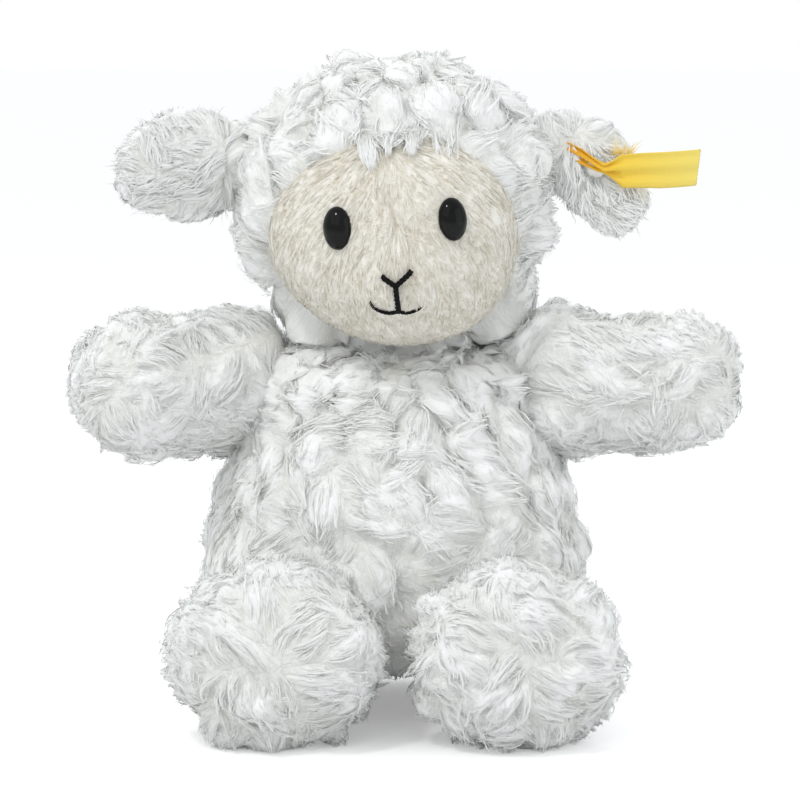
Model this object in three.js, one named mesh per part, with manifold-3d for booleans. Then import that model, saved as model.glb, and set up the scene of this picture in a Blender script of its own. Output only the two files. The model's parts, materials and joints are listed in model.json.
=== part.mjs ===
// Seated plush sheep with outstretched arms, sewn from long-pile plush.
// Millimetres, +Z up, the sheep looks along -Y and sits on the plane z = 0.
// Each casing is a hollow pelt that is open where it is sewn on, with its stuffing inside.
import * as THREE from 'three';
import { mergeVertices } from 'three/addons/utils/BufferGeometryUtils.js';
import Module from 'manifold-3d';

const wasm = await Module();
wasm.setup();

// Fabric and clearances
const PILE_WALL = 4;
const FACE_WALL = 2.2;
const GAP = 0.3;
const SEAT_GAP = 0.35;
const CUT_OVERRUN = 3;
const FLAT_DEPTH = 0.5;
const THREAD_RADIUS = 0.6;
const HIP_THREAD_POLAR_ANGLE = 120;
const SHOULDER_THREAD_POLAR_ANGLE = 126;
const LADDER_THREAD_POLAR_ANGLE = 128;
const GATHERING_THREAD_POLAR_ANGLE = 152;

// Torso
const TORSO_HEIGHT = 98;
const TORSO_HALF_WIDTH = 53;
const TORSO_HALF_DEPTH = 41;
const PELLET_BAG_HALF_WIDTH = 24;
const PELLET_BAG_HALF_DEPTH = 15;
const PELLET_BAG_HALF_HEIGHT = 10;

// Head, face and neck
const NECK_RADIUS = 17;
const NECK_RISE = 8;
const NECK_SHIFT = 2.4;
const NECK_SET_BACK = 4;
const NECK_MOUTH = 6.5;
const HEAD_HALF_WIDTH = 42.5;
const HEAD_HALF_DEPTH = 37;
const HEAD_HALF_HEIGHT = 38;
const HEAD_RISE = 34.5;
const HEAD_ADVANCE = 6;
const HEAD_ROLL_ANGLE = 4.5;
const CHEEK_SQUARE_SHARE = 0.4;
const FACE_HALF_WIDTH = 35;
const FACE_HALF_DEPTH = 30;
const FACE_HALF_HEIGHT = 31;
const FACE_ADVANCE = 13;
const FACE_DROP = 7;
const FACE_OPENING_HALF_WIDTH = 33;
const FACE_OPENING_HALF_HEIGHT = 27;
const FACE_OPENING_DROP = 11.4;
const FACE_EDGE_SET_BACK = 5;
const MUZZLE_RISE = 5;
const MUZZLE_HALF_WIDTH = 16;
const MUZZLE_HALF_HEIGHT = 11;
const MUZZLE_DROP = 24;
const MUZZLE_FULL_SHARE = 0.4;

// Eyes, nose and mouth
const EYE_HALF_WIDTH = 3.9;
const EYE_HALF_HEIGHT = 5.7;
const EYE_DOME = 3;
const EYE_SPREAD = 15.1;
const EYE_DROP = 4.8;
const EYE_SHANK_RADIUS = 1.2;
const EYE_SHANK_LENGTH = 6.5;
const WASHER_RADIUS = 4;
const WASHER_THICKNESS = 1;
const NOSE_THREAD = 0.8;
const NOSE_HALF_WIDTH = 3.4;
const NOSE_ARM_HEIGHT = 3.2;
const NOSE_STEM = 7.1;
const NOSE_DROP = 20.8;
const NOSE_BEND_SHARE = 0.4;
const MOUTH_THREAD = 0.5;
const MOUTH_HALF_WIDTH = 7;
const MOUTH_CURVE = 1.8;
const MOUTH_SHARES = [-1, -0.6, 0, 0.6, 1];

// Arms
const ARM_ROOT_RADIUS = 17;
const PAW_RADIUS = 19.5;
const ARM_REACH = 48;
const ARM_MOUTH = 6;
const PAW_BLUNT_SHARE = 0.8;
const LIMB_WAIST_SHARE = 0.55;
const LIMB_SWELL_SHARE = 0.65;
const SHOULDER_DROP = 10;
const SHOULDER_SWING_ANGLE = 38;
const SHOULDER_SEAM_SWEEP_ANGLE = 14;
const LEFT_ARM_SWEEP_ANGLE = 37;
const LEFT_ARM_LIFT_ANGLE = 5;
const RIGHT_ARM_SWEEP_ANGLE = 6;
const RIGHT_ARM_LIFT_ANGLE = 3.5;

// Legs
const LEG_ROOT_RADIUS = 20;
const FOOT_HALF_WIDTH = 28.5;
const FOOT_HALF_HEIGHT = 24.5;
const LEG_REACH = 31;
const FOOT_FULL_SHARE = 0.5;
const LEG_MOUTH = 7;
const HIP_SPREAD = 30.5;
const HIP_SWING_ANGLE = 30;
const LEFT_LEG_SPLAY_ANGLE = 3;
const RIGHT_LEG_SPLAY_ANGLE = 7;
const LEG_DROOP_ANGLE = 3;

// Ears, tail
const EAR_ROOT_RADIUS = 5.5;
const EAR_LENGTH = 34.5;
const EAR_HALF_HEIGHT = 14.5;
const EAR_HALF_THICKNESS = 5;
const EAR_SAG = 4;
const EAR_CUP = 1.5;
const EAR_BASE_SHARE = 0.5;
const EAR_FULL_SHARE = 0.4;
const EAR_RISE = 12.8;
const EAR_SWING_ANGLE = 55;
const LEFT_EAR_DROOP_ANGLE = -3;
const LEFT_EAR_SWEEP_ANGLE = 26;
const RIGHT_EAR_DROOP_ANGLE = 38;
const RIGHT_EAR_SWEEP_ANGLE = 4;
const TAIL_ROOT_RADIUS = 6;
const TAIL_TIP_RADIUS = 7.5;
const TAIL_LENGTH = 17;
const TAIL_HEIGHT = 26;
const TAIL_DROOP_ANGLE = 35;
const TAIL_SWING_ANGLE = 32;

// Ribbon and its rivet in the right ear
const RIBBON_LENGTH = 32;
const RIBBON_HALF_WIDTH = 4.6;
const RIBBON_NECK_HALF_WIDTH = 1.6;
const RIBBON_THICKNESS = 0.6;
const RIBBON_EYELET_RADIUS = 3;
const RIBBON_LIFT_ANGLE = 36;
const RIBBON_TWIST_SHARE = 0.7;
const RIVET_REACH = 14;
const RIVET_HEAD_RADIUS = 3.2;
const RIVET_HEAD_HEIGHT = 1.4;
const RIVET_SHANK_RADIUS = 1;
const RIVET_WASHER_RADIUS = 2.8;
const RIVET_WASHER_THICKNESS = 0.8;

// Tufts: locks of pile that stand off a pelt in staggered rows
const TORSO_TUFT_HEIGHT = 3.4;
const HEAD_TUFT_HEIGHT = 4;
const TUFT_CLEARANCE = 8;
const TORSO_TUFTS = 18;
const TORSO_TUFT_ROWS = 8;
const HEAD_TUFTS = 14;
const HEAD_TUFT_ROWS = 6;

// How far a tuft stands off, across it in each line and from its top line down. The first line
// is where the tip of the tuft above lies between two tufts.
const TUFT_SHARES = [
  [0.85, 0.3, 0.1, 0.3],
  [0.1, 0.55, 0.65, 0.55],
  [0.1, 0.85, 1, 0.85],
];
const TUFT_COLUMNS = TUFT_SHARES[0].length;

// Facets round the large casings, the limbs and the small parts
const CASING_SIDES = 24;
const LINING_SIDES = 16;
const LIMB_SIDES = 16;
const LIMB_LINING_SIDES = 12;
const SEAT_SIDES = 18;
const THREAD_SIDES = 16;
const SMALL_SIDES = 12;
const EAR_SIDES = 16;

// Height up the torso and half-width there, as shares of the torso's height and half-width
const TORSO_SHARES = [
  [0.3, 0], [0.58, 0.022], [0.82, 0.09], [0.965, 0.22], [1, 0.375], [0.955, 0.535], [0.865, 0.685],
  [0.765, 0.815], [0.665, 0.89], [0.54, 0.95], [0.36, 0.985], [0.16, 1],
];

const rad = THREE.MathUtils.degToRad;

// Colours and finishes, as seen in soft daylight
function fabric(colour, roughness = 0.95) {
  return new THREE.MeshStandardMaterial({ color: colour, roughness, metalness: 0 });
}
const WHITE_PLUSH = fabric('#f1f1ee');
const CREAM_PLUSH = fabric('#e4dccd');
const FILLING = fabric('#f7f6f2');
const PELLET_CLOTH = fabric('#dcd8cf');
const WHITE_THREAD = fabric('#efeeea', 0.8);
const BLACK_THREAD = fabric('#151413', 0.7);
const YELLOW_RIBBON = fabric('#f6c51e', 0.6);
const EYE_BLACK = new THREE.MeshStandardMaterial({ color: '#0b0a0a', roughness: 0.06, metalness: 0 });
const WASHER_WHITE = new THREE.MeshStandardMaterial({ color: '#e9e9e6', roughness: 0.5, metalness: 0 });
const RIVET_STEEL = new THREE.MeshStandardMaterial({ color: '#b9b7b0', roughness: 0.3, metalness: 1 });

// A closed surface made a solid, turned if need be so that its faces point outwards
function solidOf(geometry) {
  const bare = geometry.clone();
  bare.deleteAttribute('normal');
  bare.deleteAttribute('uv');
  const merged = mergeVertices(bare);
  const place = merged.attributes.position;
  const index = Array.from(merged.index.array);
  const corners = [];
  for (let i = 0; i < index.length; i += 3) {
    const [a, b, c] = index.slice(i, i + 3);
    if (a !== b && b !== c && c !== a) corners.push([a, b, c]);
  }
  const [p, q, r] = [new THREE.Vector3(), new THREE.Vector3(), new THREE.Vector3()];
  let volume = 0;
  for (const [a, b, c] of corners) {
    p.fromBufferAttribute(place, a);
    q.fromBufferAttribute(place, b);
    r.fromBufferAttribute(place, c);
    volume += p.dot(q.cross(r));
  }
  const turned = volume < 0 ? corners.map(([a, b, c]) => [a, c, b]) : corners;
  return new wasm.Manifold(new wasm.Mesh({
    numProp: 3,
    vertProperties: new Float32Array(place.array),
    triVerts: new Uint32Array(turned.flat()),
  }));
}

function geometryOf(solid) {
  const mesh = solid.getMesh();
  const geometry = new THREE.BufferGeometry();
  geometry.setAttribute('position', new THREE.BufferAttribute(mesh.vertProperties, 3));
  geometry.setIndex(new THREE.BufferAttribute(mesh.triVerts, 1));
  geometry.computeVertexNormals();
  return geometry;
}

function piece(name, solid, material) {
  const mesh = new THREE.Mesh(geometryOf(solid), material);
  mesh.name = name;
  return mesh;
}

function ellipsoid(halfX, halfY, halfZ, sides) {
  return new THREE.SphereGeometry(1, sides, Math.round(sides * 0.6)).scale(halfX, halfY, halfZ);
}

// A ball that lies wholly outside the true sphere, to cut a seat that a ball can turn in
function seatBall(radius, sides = SEAT_SIDES) {
  const halfStep = Math.PI / sides;
  const around = radius / Math.cos(halfStep) ** 2;
  return new THREE.SphereGeometry(around, sides, Math.round(sides / 2));
}

function cylinderAlongY(radius, length, sides = SMALL_SIDES) {
  return new THREE.CylinderGeometry(radius, radius, length, sides);
}

// A curve through points, as the half outline of a revolved piece
function spunAlongY(points, sides) {
  return new THREE.LatheGeometry(points, sides);
}

// Works tufts into a spun form whose outline has so many points and runs from its foot to its top.
// They fade out towards both ends and near the seats of other pieces, which keep their fit.
function addTufts(geometry, outlinePoints, height, clearOf) {
  const place = geometry.attributes.position;
  const normal = geometry.attributes.normal;
  const lines = TUFT_SHARES.length;
  const [point, way] = [new THREE.Vector3(), new THREE.Vector3()];
  for (let i = 0; i < place.count; i += 1) {
    point.fromBufferAttribute(place, i);
    way.fromBufferAttribute(normal, i);
    const fromFoot = i % outlinePoints;
    const fromTop = outlinePoints - 1 - fromFoot;
    const row = Math.floor(fromTop / lines);
    const column = Math.floor(i / outlinePoints) + row * TUFT_COLUMNS / 2;
    const share = TUFT_SHARES[fromTop % lines][column % TUFT_COLUMNS];
    const clear = Math.min(...clearOf.map((seat) => point.distanceTo(seat.at) - seat.radius));
    const calm = THREE.MathUtils.smoothstep(clear / TUFT_CLEARANCE, 0, 1);
    const fade = Math.min(1, fromFoot / lines, fromTop / lines) * calm;
    point.addScaledVector(way, height * fade * (share - 1 / 2));
    place.setXYZ(i, ...point.toArray());
  }
  return geometry;
}

// Torso: a pear that is cut flat where it sits
const torsoCurve = new THREE.SplineCurve(
  TORSO_SHARES.map(([wide, high]) => new THREE.Vector2(wide * TORSO_HALF_WIDTH, high * TORSO_HEIGHT)),
);

function torsoHalfWidthAt(height) {
  const points = torsoCurve.getPoints(200);
  const next = points.findIndex((point) => point.y > height);
  const [low, high] = [points[next - 1], points[next]];
  return THREE.MathUtils.mapLinear(height, low.y, high.y, low.x, high.x);
}

function torsoFrontAt(across, height) {
  const halfWidth = torsoHalfWidthAt(height);
  const halfDepth = halfWidth * TORSO_HALF_DEPTH / TORSO_HALF_WIDTH;
  return halfDepth * Math.sqrt(1 - (across / halfWidth) ** 2);
}

function torsoForm(inset, sides, steps) {
  const points = torsoCurve.getSpacedPoints(steps);
  const middle = TORSO_HEIGHT / 2;
  const squeeze = (TORSO_HEIGHT - 2 * inset) / TORSO_HEIGHT;
  const outline = points.map((point) => new THREE.Vector2(
    point.x * (1 - inset / TORSO_HALF_WIDTH),
    middle + (point.y - middle) * squeeze,
  ));
  outline.unshift(new THREE.Vector2(0, outline[0].y - FLAT_DEPTH));
  outline.push(new THREE.Vector2(0, outline.at(-1).y));
  const depthShare = (TORSO_HALF_DEPTH - inset) / (TORSO_HALF_WIDTH - inset);
  return spunAlongY(outline, sides).rotateX(Math.PI / 2).scale(1, depthShare, 1);
}

// Limbs: a round root that turns in its seat, swelling to a paw, along +Y from the pivot
function limbForm({ root, end, reach, inset = 0, sides, steps }) {
  const rootRadius = root - inset;
  const endRadius = end - inset;
  const endDepth = endRadius * PAW_BLUNT_SHARE;
  const widest = reach - inset - endDepth;
  const waistRadius = THREE.MathUtils.lerp(rootRadius, endRadius, LIMB_SWELL_SHARE);
  const path = new THREE.Path();
  path.absarc(0, 0, rootRadius, -Math.PI / 2, 0, false);
  path.splineThru([
    new THREE.Vector2(waistRadius, widest * LIMB_WAIST_SHARE),
    new THREE.Vector2(endRadius, widest),
  ]);
  path.absellipse(0, widest, endRadius, endDepth, 0, Math.PI / 2, false, 0);
  const outline = path.getSpacedPoints(steps);
  outline[0].x = 0;
  outline.at(-1).x = 0;
  return spunAlongY(outline, sides);
}

function floorCut(group) {
  group.updateMatrixWorld(true);
  const side = 4 * (TORSO_HALF_WIDTH + TORSO_HEIGHT);
  const floor = new THREE.BoxGeometry(side, side, side).translate(0, 0, -side / 2);
  return solidOf(floor.applyMatrix4(group.matrixWorld.clone().invert()));
}

const part = new THREE.Group();

// Neck, shoulders, hips and tail: the pivots, set off the torso's surface so that each limb can swing
const neckPivot = new THREE.Vector3(NECK_SHIFT, NECK_SET_BACK, TORSO_HEIGHT + NECK_RISE);
const shoulderHeight = TORSO_HEIGHT - SHOULDER_DROP;
const threadSpace = 2 * SEAT_GAP + 2 * THREAD_RADIUS;
const shoulderStandOff = ARM_ROOT_RADIUS * Math.sin(rad(SHOULDER_SWING_ANGLE));
const shoulderAcross = torsoHalfWidthAt(shoulderHeight) + shoulderStandOff;

// A leg is as high as its foot needs to rest flat on the floor
function legForm(inset, sides, steps) {
  const geometry = limbForm({
    root: LEG_ROOT_RADIUS, end: FOOT_HALF_HEIGHT, reach: LEG_REACH, inset, sides, steps,
  });
  const place = geometry.attributes.position;
  const widen = (FOOT_HALF_WIDTH - inset) / (FOOT_HALF_HEIGHT - inset) - 1;
  for (let i = 0; i < place.count; i += 1) {
    const along = THREE.MathUtils.smoothstep(place.getY(i) / LEG_REACH, 0, FOOT_FULL_SHARE);
    place.setX(i, place.getX(i) * (1 + widen * along));
  }
  return geometry;
}

const AHEAD = new THREE.Matrix4().makeRotationZ(Math.PI);

function legTurn(side, splay) {
  return new THREE.Euler(rad(LEG_DROOP_ANGLE), 0, side * rad(splay), 'ZXY');
}

function hipHeightOf(turn) {
  const matrix = new THREE.Matrix4().makeRotationFromEuler(turn).multiply(AHEAD);
  const turned = legForm(0, LIMB_SIDES, 11).applyMatrix4(matrix);
  turned.computeBoundingBox();
  return -turned.boundingBox.min.z - FLAT_DEPTH;
}

const legs = [
  { name: 'left', side: -1, turn: legTurn(-1, LEFT_LEG_SPLAY_ANGLE) },
  { name: 'right', side: 1, turn: legTurn(1, RIGHT_LEG_SPLAY_ANGLE) },
].map((leg) => {
  const height = hipHeightOf(leg.turn);
  const front = torsoFrontAt(HIP_SPREAD, height) + LEG_ROOT_RADIUS * Math.sin(rad(HIP_SWING_ANGLE));
  return { ...leg, pivot: new THREE.Vector3(leg.side * HIP_SPREAD, -front, height) };
});

const arms = [
  { name: 'left', side: -1, sweep: LEFT_ARM_SWEEP_ANGLE, lift: LEFT_ARM_LIFT_ANGLE },
  { name: 'right', side: 1, sweep: RIGHT_ARM_SWEEP_ANGLE, lift: RIGHT_ARM_LIFT_ANGLE },
].map((arm) => ({
  ...arm,
  pivot: new THREE.Vector3(arm.side * shoulderAcross, 0, shoulderHeight),
}));

const tailPivot = new THREE.Vector3(
  0,
  torsoFrontAt(0, TAIL_HEIGHT) + TAIL_ROOT_RADIUS * Math.sin(rad(TAIL_SWING_ANGLE)),
  TAIL_HEIGHT,
);

const seats = [
  { at: neckPivot, radius: NECK_RADIUS + threadSpace },
  ...arms.map((arm) => ({ at: arm.pivot, radius: ARM_ROOT_RADIUS + threadSpace })),
  ...legs.map((leg) => ({ at: leg.pivot, radius: LEG_ROOT_RADIUS + threadSpace })),
  { at: tailPivot, radius: TAIL_ROOT_RADIUS + SEAT_GAP },
];

function withSeats(solid) {
  return seats.reduce(
    (left, seat) => left.subtract(solidOf(seatBall(seat.radius).translate(...seat.at.toArray()))),
    solid,
  );
}

// The torso's pelt, its filling and the bag of pellets that weighs the seat down
const torsoInside = solidOf(torsoForm(PILE_WALL, LINING_SIDES, 12));
const torsoSteps = TORSO_TUFT_ROWS * TUFT_SHARES.length;
const torsoOutside = torsoForm(0, TORSO_TUFTS * TUFT_COLUMNS, torsoSteps);
const torsoOutlinePoints = torsoSteps + 3;
const torsoPelt = solidOf(addTufts(torsoOutside, torsoOutlinePoints, TORSO_TUFT_HEIGHT, seats))
  .subtract(torsoInside);
const standing = floorCut(new THREE.Group());
const bagForm = ellipsoid(PELLET_BAG_HALF_WIDTH, PELLET_BAG_HALF_DEPTH, PELLET_BAG_HALF_HEIGHT, LINING_SIDES);
const bagHeight = PILE_WALL + 2 * GAP + PELLET_BAG_HALF_HEIGHT;
const bagPlace = [0, PELLET_BAG_HALF_DEPTH / 2, bagHeight];
const bagRoom = ellipsoid(
  PELLET_BAG_HALF_WIDTH + GAP,
  PELLET_BAG_HALF_DEPTH + GAP,
  PELLET_BAG_HALF_HEIGHT + GAP,
  LINING_SIDES,
);
const bagMouth = cylinderAlongY(PELLET_BAG_HALF_DEPTH / 2, bagHeight)
  .rotateX(Math.PI / 2).translate(bagPlace[0], bagPlace[1], bagHeight / 2);
const torsoFilling = solidOf(torsoForm(PILE_WALL + GAP, LINING_SIDES, 12))
  .subtract(solidOf(bagRoom.translate(...bagPlace)))
  .subtract(solidOf(bagMouth));
part.add(
  piece('torso_casing', withSeats(torsoPelt).subtract(standing), WHITE_PLUSH),
  piece('torso_stuffing', withSeats(torsoFilling), FILLING),
  piece('seat_pellet_bag', solidOf(bagForm.translate(...bagPlace)), PELLET_CLOTH),
);

// A ring of thread that lies between a limb's round root and its seat
function seamThread(name, radius, polar, material = WHITE_THREAD) {
  const centre = radius + SEAT_GAP + THREAD_RADIUS;
  const ring = new THREE.TorusGeometry(centre * Math.sin(rad(polar)), THREAD_RADIUS, 5, THREAD_SIDES);
  ring.rotateX(Math.PI / 2).translate(0, centre * Math.cos(rad(polar)), 0);
  return piece(name, solidOf(ring), material);
}

// A limb's pelt with its mouth at the root, and the filling inside
function limbPieces(form, root, mouth) {
  const inside = solidOf(form(PILE_WALL, LIMB_LINING_SIDES, 8));
  const depth = root + CUT_OVERRUN;
  const opening = solidOf(cylinderAlongY(mouth, depth).translate(0, -depth / 2, 0));
  const outside = solidOf(form(0, LIMB_SIDES, 11));
  return {
    pelt: outside.subtract(inside).subtract(opening),
    filling: solidOf(form(PILE_WALL + GAP, LIMB_LINING_SIDES, 8)),
  };
}

// Arms: along +Y of their group, which is turned to point sideways, a little forwards and up
function armForm(inset, sides, steps) {
  return limbForm({ root: ARM_ROOT_RADIUS, end: PAW_RADIUS, reach: ARM_REACH, inset, sides, steps });
}

for (const arm of arms) {
  const group = new THREE.Group();
  group.position.copy(arm.pivot);
  group.rotation.set(rad(arm.lift), 0, -arm.side * rad(90 + arm.sweep), 'ZXY');
  const { pelt, filling } = limbPieces(armForm, ARM_ROOT_RADIUS, ARM_MOUTH);
  const seam = seamThread(`shoulder_thread_${arm.name}`, ARM_ROOT_RADIUS, SHOULDER_THREAD_POLAR_ANGLE);
  seam.position.copy(arm.pivot);
  seam.rotation.z = -arm.side * rad(90 + SHOULDER_SEAM_SWEEP_ANGLE);
  group.add(
    piece(`arm_${arm.name}_casing`, pelt, WHITE_PLUSH),
    piece(`arm_${arm.name}_stuffing`, filling, FILLING),
  );
  part.add(group, seam);
}

// Legs: along +Y of their group, which looks ahead, with wide feet that rest flat
for (const leg of legs) {
  const group = new THREE.Group();
  group.position.copy(leg.pivot);
  const matrix = new THREE.Matrix4().makeRotationFromEuler(leg.turn).multiply(AHEAD);
  group.quaternion.setFromRotationMatrix(matrix);
  const { pelt, filling } = limbPieces(legForm, LEG_ROOT_RADIUS, LEG_MOUTH);
  group.add(
    piece(`leg_${leg.name}_casing`, pelt.subtract(floorCut(group)), WHITE_PLUSH),
    piece(`leg_${leg.name}_stuffing`, filling, FILLING),
    seamThread(`hip_thread_${leg.name}`, LEG_ROOT_RADIUS, HIP_THREAD_POLAR_ANGLE),
  );
  part.add(group);
}

// Tail
const tail = new THREE.Group();
tail.position.copy(tailPivot);
tail.rotation.x = -rad(TAIL_DROOP_ANGLE);
tail.add(piece('tail', solidOf(limbForm({
  root: TAIL_ROOT_RADIUS, end: TAIL_TIP_RADIUS, reach: TAIL_LENGTH, sides: LIMB_LINING_SIDES, steps: 9,
})), WHITE_PLUSH));
part.add(tail);

// Neck threads: the outer one sews head to body, the inner one draws the head's mouth shut
const neck = new THREE.Group();
neck.position.copy(neckPivot);
neck.rotation.x = Math.PI / 2;
neck.add(
  seamThread('neck_ladder_thread', NECK_RADIUS, LADDER_THREAD_POLAR_ANGLE),
  seamThread('neck_gathering_thread', NECK_RADIUS, GATHERING_THREAD_POLAR_ANGLE),
);
part.add(neck);

// Head: its group turns about the neck's pivot, and headMiddle is the middle of the hood
const head = new THREE.Group();
head.position.copy(neckPivot);
head.rotation.y = -rad(HEAD_ROLL_ANGLE);
part.add(head);
const headMiddle = new THREE.Vector3(0, -HEAD_ADVANCE, HEAD_RISE);
const faceMiddle = headMiddle.clone().add(new THREE.Vector3(0, -FACE_ADVANCE, -FACE_DROP));
const muzzleHeight = headMiddle.z - MUZZLE_DROP;

function muzzleRiseAt(across, height) {
  const wide = across / MUZZLE_HALF_WIDTH;
  const high = (height - muzzleHeight) / MUZZLE_HALF_HEIGHT;
  return MUZZLE_RISE * Math.exp(-(wide ** 2) - high ** 2);
}

function faceForm(inset, sides) {
  const geometry = ellipsoid(
    FACE_HALF_WIDTH - inset,
    FACE_HALF_DEPTH - inset,
    FACE_HALF_HEIGHT - inset,
    sides,
  ).translate(...faceMiddle.toArray());
  const place = geometry.attributes.position;
  for (let i = 0; i < place.count; i += 1) {
    const [x, y, z] = [place.getX(i), place.getY(i), place.getZ(i)];
    const ahead = THREE.MathUtils.smoothstep((faceMiddle.y - y) / FACE_HALF_DEPTH, 0, MUZZLE_FULL_SHARE);
    place.setY(i, y - ahead * muzzleRiseAt(x, z));
  }
  return geometry;
}

// The point of the face at a place across and up, and the way that its surface looks there
function onFaceAt(across, height) {
  const ahead = (x, z) => {
    const wide = x / FACE_HALF_WIDTH;
    const high = (z - faceMiddle.z) / FACE_HALF_HEIGHT;
    return faceMiddle.y - FACE_HALF_DEPTH * Math.sqrt(1 - wide ** 2 - high ** 2) - muzzleRiseAt(x, z);
  };
  const slopeX = (ahead(across + GAP, height) - ahead(across - GAP, height)) / (2 * GAP);
  const slopeZ = (ahead(across, height + GAP) - ahead(across, height - GAP)) / (2 * GAP);
  return {
    point: new THREE.Vector3(across, ahead(across, height), height),
    way: new THREE.Vector3(slopeX, -1, slopeZ).normalize(),
  };
}

// An egg on its crown's axis, squared off below at the sides, where the cheeks hang over the shoulders
const roundOutline = new THREE.Path().absarc(0, 0, 1, -Math.PI / 2, Math.PI / 2, false);

function hoodForm(inset, sides, steps = Math.round(sides * 0.6)) {
  const outline = roundOutline.getSpacedPoints(steps);
  outline[0].x = 0;
  outline.at(-1).x = 0;
  const geometry = spunAlongY(outline, sides).rotateX(Math.PI / 2);
  const place = geometry.attributes.position;
  const point = new THREE.Vector3();
  for (let i = 0; i < place.count; i += 1) {
    point.fromBufferAttribute(place, i);
    const round = Math.hypot(point.x, point.y);
    if (point.z < 0 && round > 0) {
      const power = 2 + CHEEK_SQUARE_SHARE * (point.x / round) ** 2;
      point.divideScalar((round ** power + Math.abs(point.z) ** power) ** (1 / power));
      place.setXYZ(i, ...point.toArray());
    }
  }
  return geometry
    .scale(HEAD_HALF_WIDTH - inset, HEAD_HALF_DEPTH - inset, HEAD_HALF_HEIGHT - inset)
    .translate(...headMiddle.toArray());
}

function neckBall(inset, sides) {
  const radius = NECK_RADIUS - inset;
  return new THREE.SphereGeometry(radius, sides, Math.round(sides / 2)).rotateX(Math.PI / 2);
}

// The space in front of the hood that the face panel fills
function faceOpening(grow) {
  const depth = 2 * HEAD_HALF_DEPTH;
  const opening = cylinderAlongY(1, depth, CASING_SIDES)
    .scale(FACE_OPENING_HALF_WIDTH + grow, 1, FACE_OPENING_HALF_HEIGHT + grow);
  const middle = headMiddle.y - FACE_EDGE_SET_BACK + grow - depth / 2;
  return solidOf(opening.translate(0, middle, headMiddle.z - FACE_OPENING_DROP));
}

const earAcross = HEAD_HALF_WIDTH * Math.sqrt(1 - (EAR_RISE / HEAD_HALF_HEIGHT) ** 2)
  + EAR_ROOT_RADIUS * Math.sin(rad(EAR_SWING_ANGLE));
const ears = [
  { name: 'left', side: -1, droop: LEFT_EAR_DROOP_ANGLE, sweep: LEFT_EAR_SWEEP_ANGLE },
  { name: 'right', side: 1, droop: RIGHT_EAR_DROOP_ANGLE, sweep: RIGHT_EAR_SWEEP_ANGLE },
].map((ear) => ({
  ...ear,
  pivot: headMiddle.clone().add(new THREE.Vector3(ear.side * earAcross, 0, EAR_RISE)),
}));

const headInside = solidOf(hoodForm(PILE_WALL, LINING_SIDES)).add(solidOf(neckBall(PILE_WALL, LINING_SIDES)));
const neckMouth = solidOf(cylinderAlongY(NECK_MOUTH, NECK_RADIUS + CUT_OVERRUN)
  .rotateX(Math.PI / 2).translate(0, 0, -(NECK_RADIUS + CUT_OVERRUN) / 2));
const hoodSteps = HEAD_TUFT_ROWS * TUFT_SHARES.length;
const hoodOutside = hoodForm(0, HEAD_TUFTS * TUFT_COLUMNS, hoodSteps);
const hoodSeats = [
  { at: new THREE.Vector3(), radius: NECK_RADIUS },
  ...ears.map((ear) => ({ at: ear.pivot, radius: EAR_ROOT_RADIUS + SEAT_GAP })),
];
let hood = solidOf(addTufts(hoodOutside, hoodSteps + 1, HEAD_TUFT_HEIGHT, hoodSeats))
  .add(solidOf(neckBall(0, SEAT_SIDES)))
  .subtract(headInside)
  .subtract(neckMouth)
  .subtract(faceOpening(GAP));
for (const ear of ears) {
  hood = hood.subtract(solidOf(seatBall(EAR_ROOT_RADIUS + SEAT_GAP).translate(...ear.pivot.toArray())));
}

const faceInside = solidOf(faceForm(FACE_WALL, LINING_SIDES));
let facePanel = solidOf(faceForm(0, CASING_SIDES)).subtract(faceInside).intersect(faceOpening(0));
const faceFilling = solidOf(faceForm(FACE_WALL + GAP, LINING_SIDES));
let headFilling = solidOf(hoodForm(PILE_WALL + GAP, LINING_SIDES))
  .add(solidOf(neckBall(PILE_WALL + GAP, LINING_SIDES)));
headFilling = headFilling
  .subtract(faceOpening(GAP).subtract(faceFilling))
  .add(faceFilling.intersect(faceOpening(0)));

// Eyes: an oval dome on a shank that goes through the face into a washer
const OUTWARDS = new THREE.Vector3(0, 1, 0);
const domeArc = new THREE.Path().absarc(0, 0, 1, 0, Math.PI / 2);
const domeOutline = [new THREE.Vector2(0, 0), ...domeArc.getPoints(5)];
domeOutline.at(-1).x = 0;

function eyeSolid() {
  const dome = spunAlongY(domeOutline, SMALL_SIDES).scale(EYE_HALF_WIDTH, EYE_DOME, EYE_HALF_HEIGHT);
  const sunk = EYE_DOME / 2;
  const shank = cylinderAlongY(EYE_SHANK_RADIUS, EYE_SHANK_LENGTH + sunk)
    .translate(0, (sunk - EYE_SHANK_LENGTH) / 2, 0);
  return solidOf(dome).add(solidOf(shank));
}

// A round hole from above a face down to a depth, in an eye's own frame
function holeDown(radius, depth, matrix) {
  const length = depth + CUT_OVERRUN;
  const drill = cylinderAlongY(radius, length).translate(0, CUT_OVERRUN - length / 2, 0);
  return solidOf(drill.applyMatrix4(matrix));
}

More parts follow.
